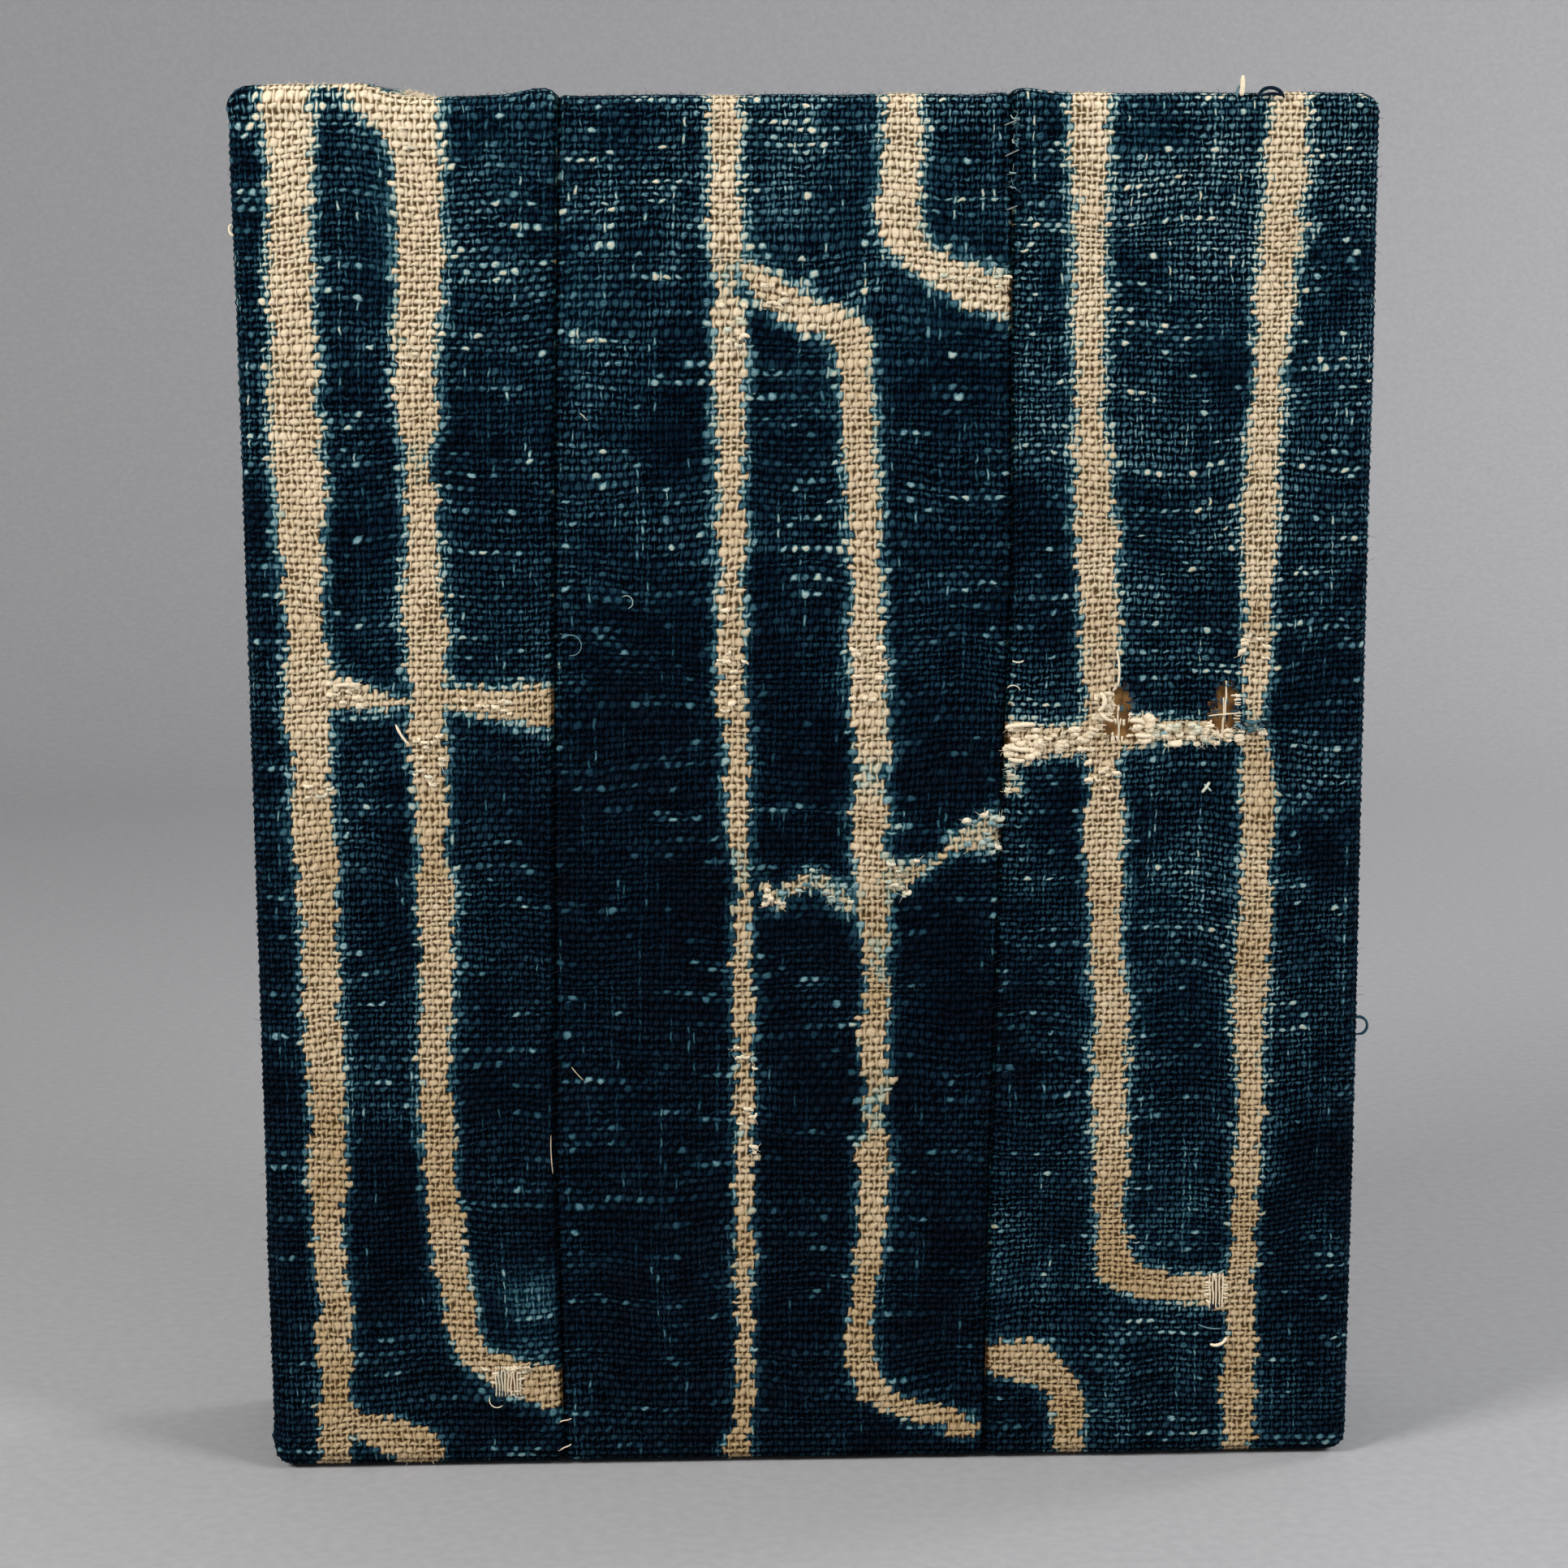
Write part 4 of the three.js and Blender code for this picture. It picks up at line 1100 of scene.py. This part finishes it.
# Loose ends, with the columns strip, x, height, toward (in degrees from the right), length, curl (how many
# degrees it turns along its length), over the cloth, lift, radius, dye and brown
LOOSE = [
    ("right", 77.6, 256.6, 82, 3.6, 10, -0.7, 0.0, 0.42, 0.02, 0.0),
    ("right", 76.9, 256.4, 110, 2.4, -70, -0.8, 0.0, 0.22, 0.45, 0.0),
    ("right", 80.4, 256.2, 75, 6.4, -150, 0.0, -0.8, 0.34, 0.82, 0.0),
    ("right", 81.0, 256.5, 25, 4.2, -50, 0.0, 0.1, 0.30, 0.90, 0.0),
    ("right", 103.0, 83.0, -20, 9.5, 330, -3.0, -0.3, 0.28, 0.62, 0.0),
    ("left", -103.1, 235.0, 220, 2.6, 120, -1.6, -0.1, 0.22, 0.10, 0.0),
    ("right", 75.9, 23.3, -25, 3.8, 90, 0.3, 0.3, 0.34, 0.03, 0.0),
    ("right", 73.6, 27.2, -25, 4.6, 25, 0.1, 0.2, 0.13, 0.42, 0.0),
    ("right", 36.3, 150.1, 55, 3.0, -130, 0.2, 0.3, 0.12, 0.16, 0.0),
    ("right", 37.2, 155.2, -30, 2.2, 60, 0.2, 0.3, 0.16, 0.16, 0.0),
    ("right", 72.6, 130.2, 55, 2.4, 0, 0.1, 0.3, 0.30, 0.20, 0.0),
    ("right", 73.0, 131.8, -45, 1.9, 0, 0.1, 0.2, 0.20, 0.30, 0.0),
    ("left", -54.6, 14.2, 185, 13.0, -235, 0.1, 0.7, 0.08, 0.05, 0.1),
    ("left", -61.5, 14.6, 250, 4.0, 150, 0.2, 0.3, 0.09, 0.04, 0.0),
    ("left", -49.0, 66.0, 268, 7.5, 8, 0.1, 0.3, 0.09, 0.10, 0.35),
    ("middle", -44.9, 79.2, -50, 3.4, 0, 0.1, 0.4, 0.07, 0.05, 0.3),
    ("middle", -34.2, 167.6, 35, 4.2, -200, 0.2, 0.2, 0.09, 0.30, 0.0),
    ("middle", -45.2, 160.0, 50, 8.0, -240, 0.1, 0.4, 0.09, 0.42, 0.0),
    ("middle", -41.4, 201.0, -35, 1.9, -20, 0.1, 0.3, 0.09, 0.20, 0.2),
    ("right", 53.4, 149.2, -35, 4.2, -120, 0.3, 0.3, 0.42, 0.02, 0.0),
    ("right", 56.4, 157.0, 285, 6.8, -25, 0.1, 0.2, 0.22, 0.05, 0.0),
    ("right", 53.6, 145.4, -60, 2.9, 50, 0.1, 0.3, 0.36, 0.03, 0.0),
    ("right", 59.0, 143.8, 15, 2.9, -50, 0.0, 0.5, 0.45, 0.02, 0.0),
    ("right", 60.0, 141.2, -15, 3.3, 25, 0.1, 0.3, 0.40, 0.03, 0.0),
    ("right", 73.6, 144.6, 8, 6.2, -8, 0.1, 0.2, 0.13, 0.03, 0.0),
    ("right", 78.6, 143.4, -50, 2.4, 30, 0.0, 0.4, 0.30, 0.45, 0.0),
    ("right", 80.4, 143.6, -30, 2.6, 60, 0.2, 0.3, 0.34, 0.50, 0.0),
    ("right", 66.2, 139.6, -25, 2.7, 45, 0.1, 0.3, 0.42, 0.06, 0.0),
    ("right", 36.0, 142.8, 15, 5.6, -20, 0.2, 0.4, 0.50, 0.02, 0.0),
    ("right", 35.9, 139.4, -20, 5.0, 20, 0.1, 0.4, 0.46, 0.03, 0.0),
    ("right", 36.6, 137.0, -25, 3.1, 35, 0.1, 0.3, 0.40, 0.05, 0.0),
    ("left", -86.6, 151.6, 20, 3.7, -45, 0.1, 0.3, 0.40, 0.03, 0.1),
    ("left", -76.0, 144.4, -68, 4.6, 20, 0.1, 0.4, 0.24, 0.08, 0.0),
]
LOOSE_POINTS = 8
LOWEST_STITCH = 4.0
STITCH_RADIUS, SEEN_STITCH_RADIUS = 0.11, 0.12
HAIR_RADIUS, BARE_WARP_RADIUS = 0.045, 0.17

# How many fibres stand off each strip, and how much more often one stands on a rounded edge
FIBRES, MORE_ON_EDGES = 3600, 9.0
LONG_FIBRES, LONGER_BY = 0.08, 1.8

# Places where the cotton has come up in soft lumps, with the columns strip, low corner and high corner (as x
# and height), how many lumps, their thickest radius and their dye
TUFTS = [
    ("left", (-88, 147.4), (-82.5, 152), 16, 0.62, 0.03),
    ("left", (-93, 130), (-88, 133.5), 5, 0.45, 0.08),
    ("left", (-74.5, 205), (-68.5, 214), 9, 0.5, 0.03),
    ("left", (-73.5, 247), (-69.5, 252), 5, 0.5, 0.05),
    ("left", (-73, 132), (-67, 150), 12, 0.5, 0.04),
    ("left", (-64, 145), (-53, 149), 10, 0.5, 0.05),
    ("left", (-64, 19), (-52, 22), 6, 0.4, 0.08),
    ("middle", (-16.5, 213), (-11.5, 221), 8, 0.6, 0.12),
    ("middle", (-16.5, 146), (-11.5, 165), 9, 0.55, 0.03),
    ("middle", (-14, 62), (-10.5, 84), 10, 0.55, 0.06),
    ("middle", (-8, 220), (-2, 224), 6, 0.6, 0.03),
    ("middle", (7, 148), (13.5, 158), 10, 0.6, 0.03),
    ("middle", (-9.2, 108.6), (-4.6, 114), 7, 0.55, 0.04),
    ("middle", (-3, 110), (7.5, 117), 9, 0.45, 0.25),
    ("middle", (14, 111), (21, 118), 7, 0.5, 0.12),
    ("middle", (29, 119.5), (35.8, 127), 16, 0.62, 0.22),
    ("middle", (22, 223), (36, 226), 9, 0.55, 0.10),
    ("right", (36.2, 137.2), (43, 142.8), 26, 0.85, 0.01),
    ("right", (36, 130.5), (38, 136), 8, 0.45, 0.10),
    ("right", (43, 138), (53, 142.8), 24, 0.68, 0.02),
    ("right", (52.4, 143.5), (55.2, 150), 14, 0.62, 0.01),
    ("right", (60.4, 140.0), (63.2, 144.6), 14, 0.95, 0.0),
    ("right", (62, 139), (75, 143), 34, 0.66, 0.10),
    ("right", (75, 139.6), (80, 141.4), 10, 0.6, 0.03),
    ("right", (79.5, 141), (84.5, 144), 16, 0.5, 0.42),
    ("right", (51, 130), (57, 139), 8, 0.5, 0.02),
    ("right", (79, 155), (85, 160), 7, 0.5, 0.03),
    ("right", (36, 240), (38, 256), 6, 0.2, 0.30),
]


def new_seed(rng):
    return int(rng.integers(1 << 20))


def tuft_lumps(yarns, name, seed):
    """Short fat lumps of cotton that mostly lie along the picks, each with a few fine hairs."""
    rng = np.random.default_rng(seed + 900)
    for strip, low, high, count, thickest, dye in TUFTS:
        if strip != name:
            continue
        for _ in range(count):
            x, z = rng.uniform(low[0], high[0]), rng.uniform(low[1], high[1])
            half, angle = rng.uniform(0.35, 0.95), rng.normal(0.0, 0.35)
            reach_x, reach_z = half * math.cos(angle), half * math.sin(angle)
            bow = rng.normal(0.0, 0.18)
            radius = 0.8 * thickest * rng.uniform(0.55, 1.0)
            rows = [(x - reach_x, z - reach_z, -0.55), (x - reach_x * 0.4, z + bow, -0.12),
                    (x + reach_x * 0.4, z + bow, -0.1), (x + reach_x, z + reach_z, -0.55)]
            own = float(np.clip(dye + rng.normal(0.0, 0.5) * dye + 0.1 * rng.random() ** 2, 0.0, 0.9))
            yarns.on_front(rows, 3, radius, own, sides=8, taper=0.45, lumps=0.25, seed=new_seed(rng))
            for _ in range(3):
                turn, length = rng.uniform(0, 2 * math.pi), rng.uniform(0.8, 2.0)
                tip_x, tip_z = x + length * math.cos(turn), z + length * math.sin(turn)
                lift = rng.uniform(0.2, 0.8)
                hair = [(x, z, 0.2), ((x + tip_x) / 2 + rng.normal(0, 0.2), (z + tip_z) / 2, lift),
                        (tip_x, tip_z, lift * 0.6)]
                yarns.on_front(hair, 3, HAIR_RADIUS, own, sides=3, taper=0.5)


def frayed_round(yarns, name, worn, seed):
    """Broken ends of yarn round a worn place, as many as its outline is long."""
    (low_x, low_z), (high_x, high_z) = worn["low"], worn["high"]
    middle_x, middle_z = (low_x + high_x) / 2, (low_z + high_z) / 2
    rng = np.random.default_rng(seed + 300)
    for turn in np.arange(0, 2 * math.pi, 2.6 / (high_x - low_x + high_z - low_z)):
        turn += rng.uniform(-0.2, 0.2)
        out_x, out_z = math.cos(turn), math.sin(turn)
        size = 1.0 / worn_reach(worn, middle_x + out_x, middle_z + out_z)
        x, z = middle_x + out_x * size, middle_z + out_z * size
        back, reach, sway = 0.9, rng.uniform(0.0, 1.0) ** 2 + 0.1, rng.normal(0.0, 0.35)
        if abs(out_x) > 0.55:
            side = math.copysign(1.0, out_x)
            rows = [(x + side * back, z, -0.5), (x, z + 0.2 * sway, -0.35),
                    (x - side * reach, z + sway, -0.6)]
        else:
            side = math.copysign(1.0, out_z)
            rows = [(x, z + side * back, -0.5), (x + 0.2 * sway, z, -0.35),
                    (x + sway, z - side * reach, -0.6)]
        inside, _ = stroke_depth(name, np.array([x + out_x]), np.array([z + out_z]))
        dye = rng.uniform(0.02, 0.12) if inside[0] > 0 else rng.uniform(0.5, 0.9)
        radius = rng.uniform(0.1, 0.26)
        yarns.on_front(rows, 4, radius, dye, 0.05, sides=6, taper=0.3, seed=new_seed(rng))


def curled_rows(x, z, toward, length, curl, over, lift):
    """Rows of x, height and height over the cloth along a loose end that turns evenly."""
    share = np.linspace(0.0, 1.0, LOOSE_POINTS)
    heading = np.radians(toward + curl * (share[:-1] + share[1:]) / 2)
    step = length / (LOOSE_POINTS - 1)
    across = x + step * np.concatenate([[0.0], np.cumsum(np.cos(heading))])
    up = z + step * np.concatenate([[0.0], np.cumsum(np.sin(heading))])
    return np.stack([across, up, over + lift * np.sin(math.pi * share)], axis=1)


def bare_warps(yarns, worn, number, seed):
    """The warps that are left across a worn place."""
    (low_x, low_z), (high_x, high_z) = worn["low"], worn["high"]
    middle = (low_z + high_z) / 2
    for index in range(worn["warps"]):
        x = low_x + (high_x - low_x) * (index + 0.5) / worn["warps"]
        sway = 0.25 * (hashed(index, number, np.int64(seed)) - 0.5)
        rows = [(x, low_z - 0.9, -0.5), (x + sway, middle - 0.8, -0.3), (x - sway, middle + 0.9, -0.35),
                (x, high_z + 0.9, -0.5)]
        dye = 0.06 + 0.1 * float(hashed(index, number, np.int64(seed + 1)))
        yarns.on_front(rows, 5, BARE_WARP_RADIUS, dye, 0.12, sides=6, taper=0.9, seed=index)


def loose_yarns(name, material):
    """The loose ends of a strip, its bare warps over worn places, and the frayed ends round those places."""
    yarns = Yarns()
    seed = STRIPS[name]["seed"]
    tuft_lumps(yarns, name, seed)
    for number, (strip, *course, radius, dye, brown) in enumerate(LOOSE):
        if strip == name:
            yarns.on_front(curled_rows(*course), 2, radius, dye, brown, sides=7, taper=0.45, seed=number)
    for number, worn in enumerate(WORN):
        if worn["strip"] == name:
            bare_warps(yarns, worn, number, seed)
            frayed_round(yarns, name, worn, seed + number)
    return yarns.made(f"loose_yarns_{name}", material)


def seam_stitches(name, seam, material, seed, seen):
    """Whip stitches over a seam. Their thread is dark blue, except where it has been seen otherwise."""
    yarns = Yarns()
    height, number = LOWEST_STITCH, 0
    while height < PANEL_TOP - 1:
        luck = hashed(np.array([0, 1, 2, 3]), np.int64(number), np.int64(seed))
        x = float(seam_x(seam, height))
        dye, brown, radius = 1.0, 0.0, STITCH_RADIUS
        if seen["low"] <= height <= seen["high"] and luck[3] < 0.75:
            dye, brown, radius = seen["dye"], seen["brown"], SEEN_STITCH_RADIUS
        reach, slant = 0.9 + 0.6 * luck[0], 0.5 + 0.9 * luck[1]
        rows = [(x - reach, height - slant / 2, -0.4), (x - reach * 0.6, height - slant * 0.3, -0.05),
                (x, height, -0.35), (x + reach * 0.6, height + slant * 0.3, -0.1),
                (x + reach, height + slant / 2, -0.45)]
        yarns.on_front(rows, 4, radius, dye, brown, sides=6, taper=0.8, seed=number)
        height += 3.2 + 2.4 * luck[2]
        number += 1
    return yarns.made(f"stitches_{name}", material)


def fibres(name, lines, material):
    """Fine hairs of cotton that stand off the cloth, most of all along the panel's edges."""
    spec = STRIPS[name]
    rng = np.random.default_rng(spec["seed"] + 500)
    sides = sheet_faces(lines)
    corners, warps, picks = (np.concatenate([side[part][:, 0] for side in sides]) for part in (1, 2, 3))
    turn = np.abs(lines["x"].turn[corners[:, X]]) + np.abs(lines["z"].turn[corners[:, Z]])
    on_edge = (turn > 0.05) & (lines["y"].turn[corners[:, Y]] < 0.5)
    weight = np.where(on_edge, MORE_ON_EDGES, 1.0)
    chosen = rng.choice(len(corners), size=FIBRES, replace=False, p=weight / weight.sum())
    corners, warps, picks = corners[chosen], warps[chosen], picks[chosen]
    points, outward = surface_points(spec, lines, corners, warps, picks)
    length = rng.uniform(0.5, 1.7, FIBRES) * np.where(rng.random(FIBRES) < LONG_FIBRES, LONGER_BY, 1.0)
    lean = rng.normal(size=(FIBRES, 3))
    lean -= outward * (lean * outward).sum(axis=1, keepdims=True)
    upright = rng.uniform(0.15, 0.8, FIBRES)[:, None]
    direction = unit(outward * upright + unit(lean) * (1 - upright))
    curl = np.cross(direction, outward) * rng.normal(size=(FIBRES, 1)) * 0.5
    root = points - outward * 0.1
    middle = root + direction * (length * 0.5)[:, None]
    tip = root + direction * (length * 0.85)[:, None] + curl * (length * 0.5)[:, None]
    tip -= outward * (length * 0.12)[:, None]
    radius = rng.uniform(0.022, 0.045, FIBRES)[:, None, None]
    across = unit(np.cross(direction, outward + 1e-3), 1e-9)
    other = np.cross(direction, across)
    ring = rings(across, other, 3)
    points = np.concatenate([root[:, None] + ring * radius, middle[:, None] + ring * radius * 0.75,
                             tip[:, None]], axis=1)
    points[..., 2] = np.maximum(points[..., 2], 0.0)
    base = np.arange(FIBRES)[:, None] * 7
    quads = np.concatenate([base + np.array([[a, (a + 1) % 3, (a + 1) % 3 + 3, a + 3]]) for a in range(3)])
    tips = np.concatenate([base + np.array([[a + 3, (a + 1) % 3 + 3, 6]]) for a in range(3)])
    x, z = flat_place(spec, lines, warps, picks)
    dye = dye_levels(name, spec, x, z, np.round(warps), np.round(picks), True)
    dye = np.clip(dye - rng.uniform(0.0, 0.25, FIBRES), 0.02, 1.0)
    made = new_mesh_object(f"fibres_{name}", points.reshape(-1, 3), [quads, tips], material)
    face_values(made, "dye", np.tile(dye, 6))
    face_values(made, "brown", np.zeros(6 * FIBRES))
    return made


def frayed_flaps(name, lines, material):
    """The cut edges on the back: ends of yarn that stick out past the last thread of each flap."""
    spec = STRIPS[name]
    yarns = Yarns()
    faces = {side[0]: side for side in sheet_faces(lines) if side[0].startswith("flap")}
    rng = np.random.default_rng(spec["seed"] + 700)
    inner = {"flap_bottom": (Z, 1), "flap_top": (Z, -1), "flap_side": (X, -spec["side"])}
    for flap, (axis, direction) in inner.items():
        if flap not in faces:
            continue
        _, corners, warps, picks = faces[flap]
        middle = corners.min(axis=1)
        line = middle[:, 2 - axis]
        for number in np.unique(line)[::2]:
            on_line = np.flatnonzero(line == number)
            last = on_line[np.argmax(middle[on_line, axis] * direction)]
            places, _ = surface_points(spec, lines, corners[last], warps[last], picks[last], 0.0)
            start = places.mean(axis=0)
            toward = np.zeros(3)
            toward[axis] = direction
            length = rng.uniform(0.6, 2.6)
            sway = rng.normal(0.0, 0.25, 3) * (1, 0.3, 1)
            rows = [start - toward * 0.8, start + toward * length * 0.5 + sway * 0.5 - (0, 0.25, 0),
                    start + toward * length + sway * length - (0, 0.45, 0)]
            warp, pick = warps[last].mean(keepdims=True), picks[last].mean(keepdims=True)
            x, z = flat_place(spec, lines, warp, pick)
            levels = dye_levels(name, spec, x, z, np.round(warp), np.round(pick), flap == "flap_side")
            radius, dye = rng.uniform(0.2, 0.32), min(float(levels[0]), 0.95)
            yarns.yarn(curve_through(rows, 3), radius, dye, sides=5, taper=0.3, seed=int(number))
    return yarns.made(f"frayed_{name}", material)


# The studio
MIDDLE_Y, HALF_WIDTH, HALF_DEPTH = -750.0, 1900.0, 1450.0
CURVE_RADIUS, WALL_HEIGHT, WALL_PARTS, CURVE_PARTS = 420.0, 2600.0, 72, 12


def paper_material():
    tree = Tree("floor")
    paper = tree.noise(tree.place(), scale=420.0, detail=3.0)
    tone = tree.ramp(paper, [(0.3, (150, 150, 152)), (0.7, (157, 157, 159))])
    return tree.finish(tone, 0.75, Specular_IOR_Level=0.3)


def studio():
    """A round studio: the floor, a curve and a wall."""
    curve = [(CURVE_RADIUS * math.sin(turn), CURVE_RADIUS * (1 - math.cos(turn)))
             for turn in np.linspace(0.13, math.pi / 2, CURVE_PARTS)]
    section = [(0.0, 0.0), *curve, (CURVE_RADIUS, WALL_HEIGHT)]
    points = [(0.0, MIDDLE_Y, 0.0)]
    for out, rise in section:
        for turn in np.arange(WALL_PARTS) * 2 * math.pi / WALL_PARTS:
            x, y = (HALF_WIDTH + out) * math.cos(turn), MIDDLE_Y + (HALF_DEPTH + out) * math.sin(turn)
            points.append((x, y, rise))
    faces = [(0, 1 + n, 1 + (n + 1) % WALL_PARTS) for n in range(WALL_PARTS)]
    for ring in range(len(section) - 1):
        inner, outer = 1 + ring * WALL_PARTS, 1 + (ring + 1) * WALL_PARTS
        for n in range(WALL_PARTS):
            after = (n + 1) % WALL_PARTS
            faces.append((inner + n, outer + n, outer + after, inner + after))
    mesh = bpy.data.meshes.new("sweep")
    mesh.from_pydata((np.array(points) * MM).tolist(), [], faces)
    mesh.polygons.foreach_set("use_smooth", np.ones(len(faces), bool))
    mesh.materials.append(paper_material())
    sweep = in_scene("sweep", mesh)
    sweep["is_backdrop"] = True


def area_light(name, place, target, power, size, colour=(1.0, 1.0, 1.0)):
    light = bpy.data.lights.new(name, "AREA")
    light.shape = "RECTANGLE"
    light.energy = power
    light.size, light.size_y = size
    light.color = colour
    holder = in_scene(name, light)
    holder.location = place
    holder.rotation_euler = (Vector(target) - Vector(place)).to_track_quat("-Z", "Y").to_euler()


LIGHTS = [
    {"name": "left_softbox", "place": (-0.70, -0.50, 0.64), "target": (0.0, 0.0, 0.15), "power": 10.6,
     "size": (0.3, 0.3), "colour": (1.0, 0.985, 0.96)},
    {"name": "right_softbox", "place": (0.72, -0.50, 0.60), "target": (0.0, 0.0, 0.15), "power": 7.6,
     "size": (0.32, 0.32), "colour": (0.98, 0.99, 1.0)},
    {"name": "top", "place": (0.0, 0.12, 1.1), "target": (0.0, 0.0, 0.1), "power": 1.8, "size": (0.6, 0.4)},
    {"name": "wall_light", "place": (1.3, 0.5, 0.8), "target": (0.85, 1.1, 0.35), "power": 17.0,
     "size": (0.6, 0.6)},
    {"name": "front_wall_light", "place": (0.0, -1.3, 1.7), "target": (0.0, -2.6, 0.5), "power": 34.0,
     "size": (1.6, 0.6)},
]


def lights():
    for light in LIGHTS:
        area_light(**light)
    world = bpy.data.worlds.new("world")
    world.use_nodes = True
    background = world.node_tree.nodes["Background"]
    background.inputs["Color"].default_value = (0.92, 0.96, 1.0, 1.0)
    background.inputs["Strength"].default_value = 0.06
    bpy.context.scene.world = world
    bpy.context.scene.view_settings.view_transform = "Standard"


def camera():
    """The camera at the photograph's place, found from the panel's outline there."""
    right_of, before, height = -21.0 * MM, 593.3 * MM, 239.0 * MM
    pitch, yaw, roll = -0.1774, -0.0272, 0.0052
    data = bpy.data.cameras.new("camera")
    data.sensor_width, data.lens = 24.0, 50.0
    holder = in_scene("camera", data)
    front = (FRONT_Y - CLOTH_OFFSET) * MM
    turn = Matrix.Rotation(yaw, 3, "Z") @ Matrix.Rotation(pitch, 3, "X") @ Matrix.Rotation(roll, 3, "Y")
    right, forward, up = (turn.col[n] for n in range(3))
    axes = Matrix((right, up, -forward)).transposed()
    holder.matrix_world = Matrix.Translation((right_of, front - before, height)) @ axes.to_4x4()
    bpy.context.scene.camera = holder


def dress_panel():
    """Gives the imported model's wooden nodes their materials."""
    upright, level = bar_material("bar_wood_upright", Z), bar_material("bar_wood_level", X)
    finishes = {"panel_face": board_material(), "bar_left": upright, "bar_right": upright, "bar_top": level,
                "bar_bottom": level}
    for name, material in finishes.items():
        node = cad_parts[name]
        if len(node.data.materials) == 0:
            node.data.materials.append(material)
        for material_slot in node.material_slots:
            material_slot.link = "OBJECT"
            material_slot.material = material


camera()
studio()
lights()
dress_panel()
weave, yarn_look = woven_material(), yarn_material()
flat_sizes = {"left": (0.111, 0.366), "middle": (0.0815, 0.366), "right": (0.124, 0.366)}
for strip_name in STRIPS:
    strip, strip_grid = woven_strip(strip_name, weave)
    extras = [loose_yarns(strip_name, yarn_look), fibres(strip_name, strip_grid, yarn_look),
              frayed_flaps(strip_name, strip_grid, yarn_look)]
    flat_sizes[strip_name]
seam_stitches("left", LEFT_SEAM, yarn_look, 71, {"low": 0, "high": 9.5, "dye": 0.05, "brown": 0.1})
seam_stitches("right", RIGHT_SEAM, yarn_look, 83, {"low": 232, "high": 258, "dye": 0.4, "brown": 0.3})

{"cad": [list(corner) for corner in cad_box], "visual": [list(corner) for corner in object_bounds()]}
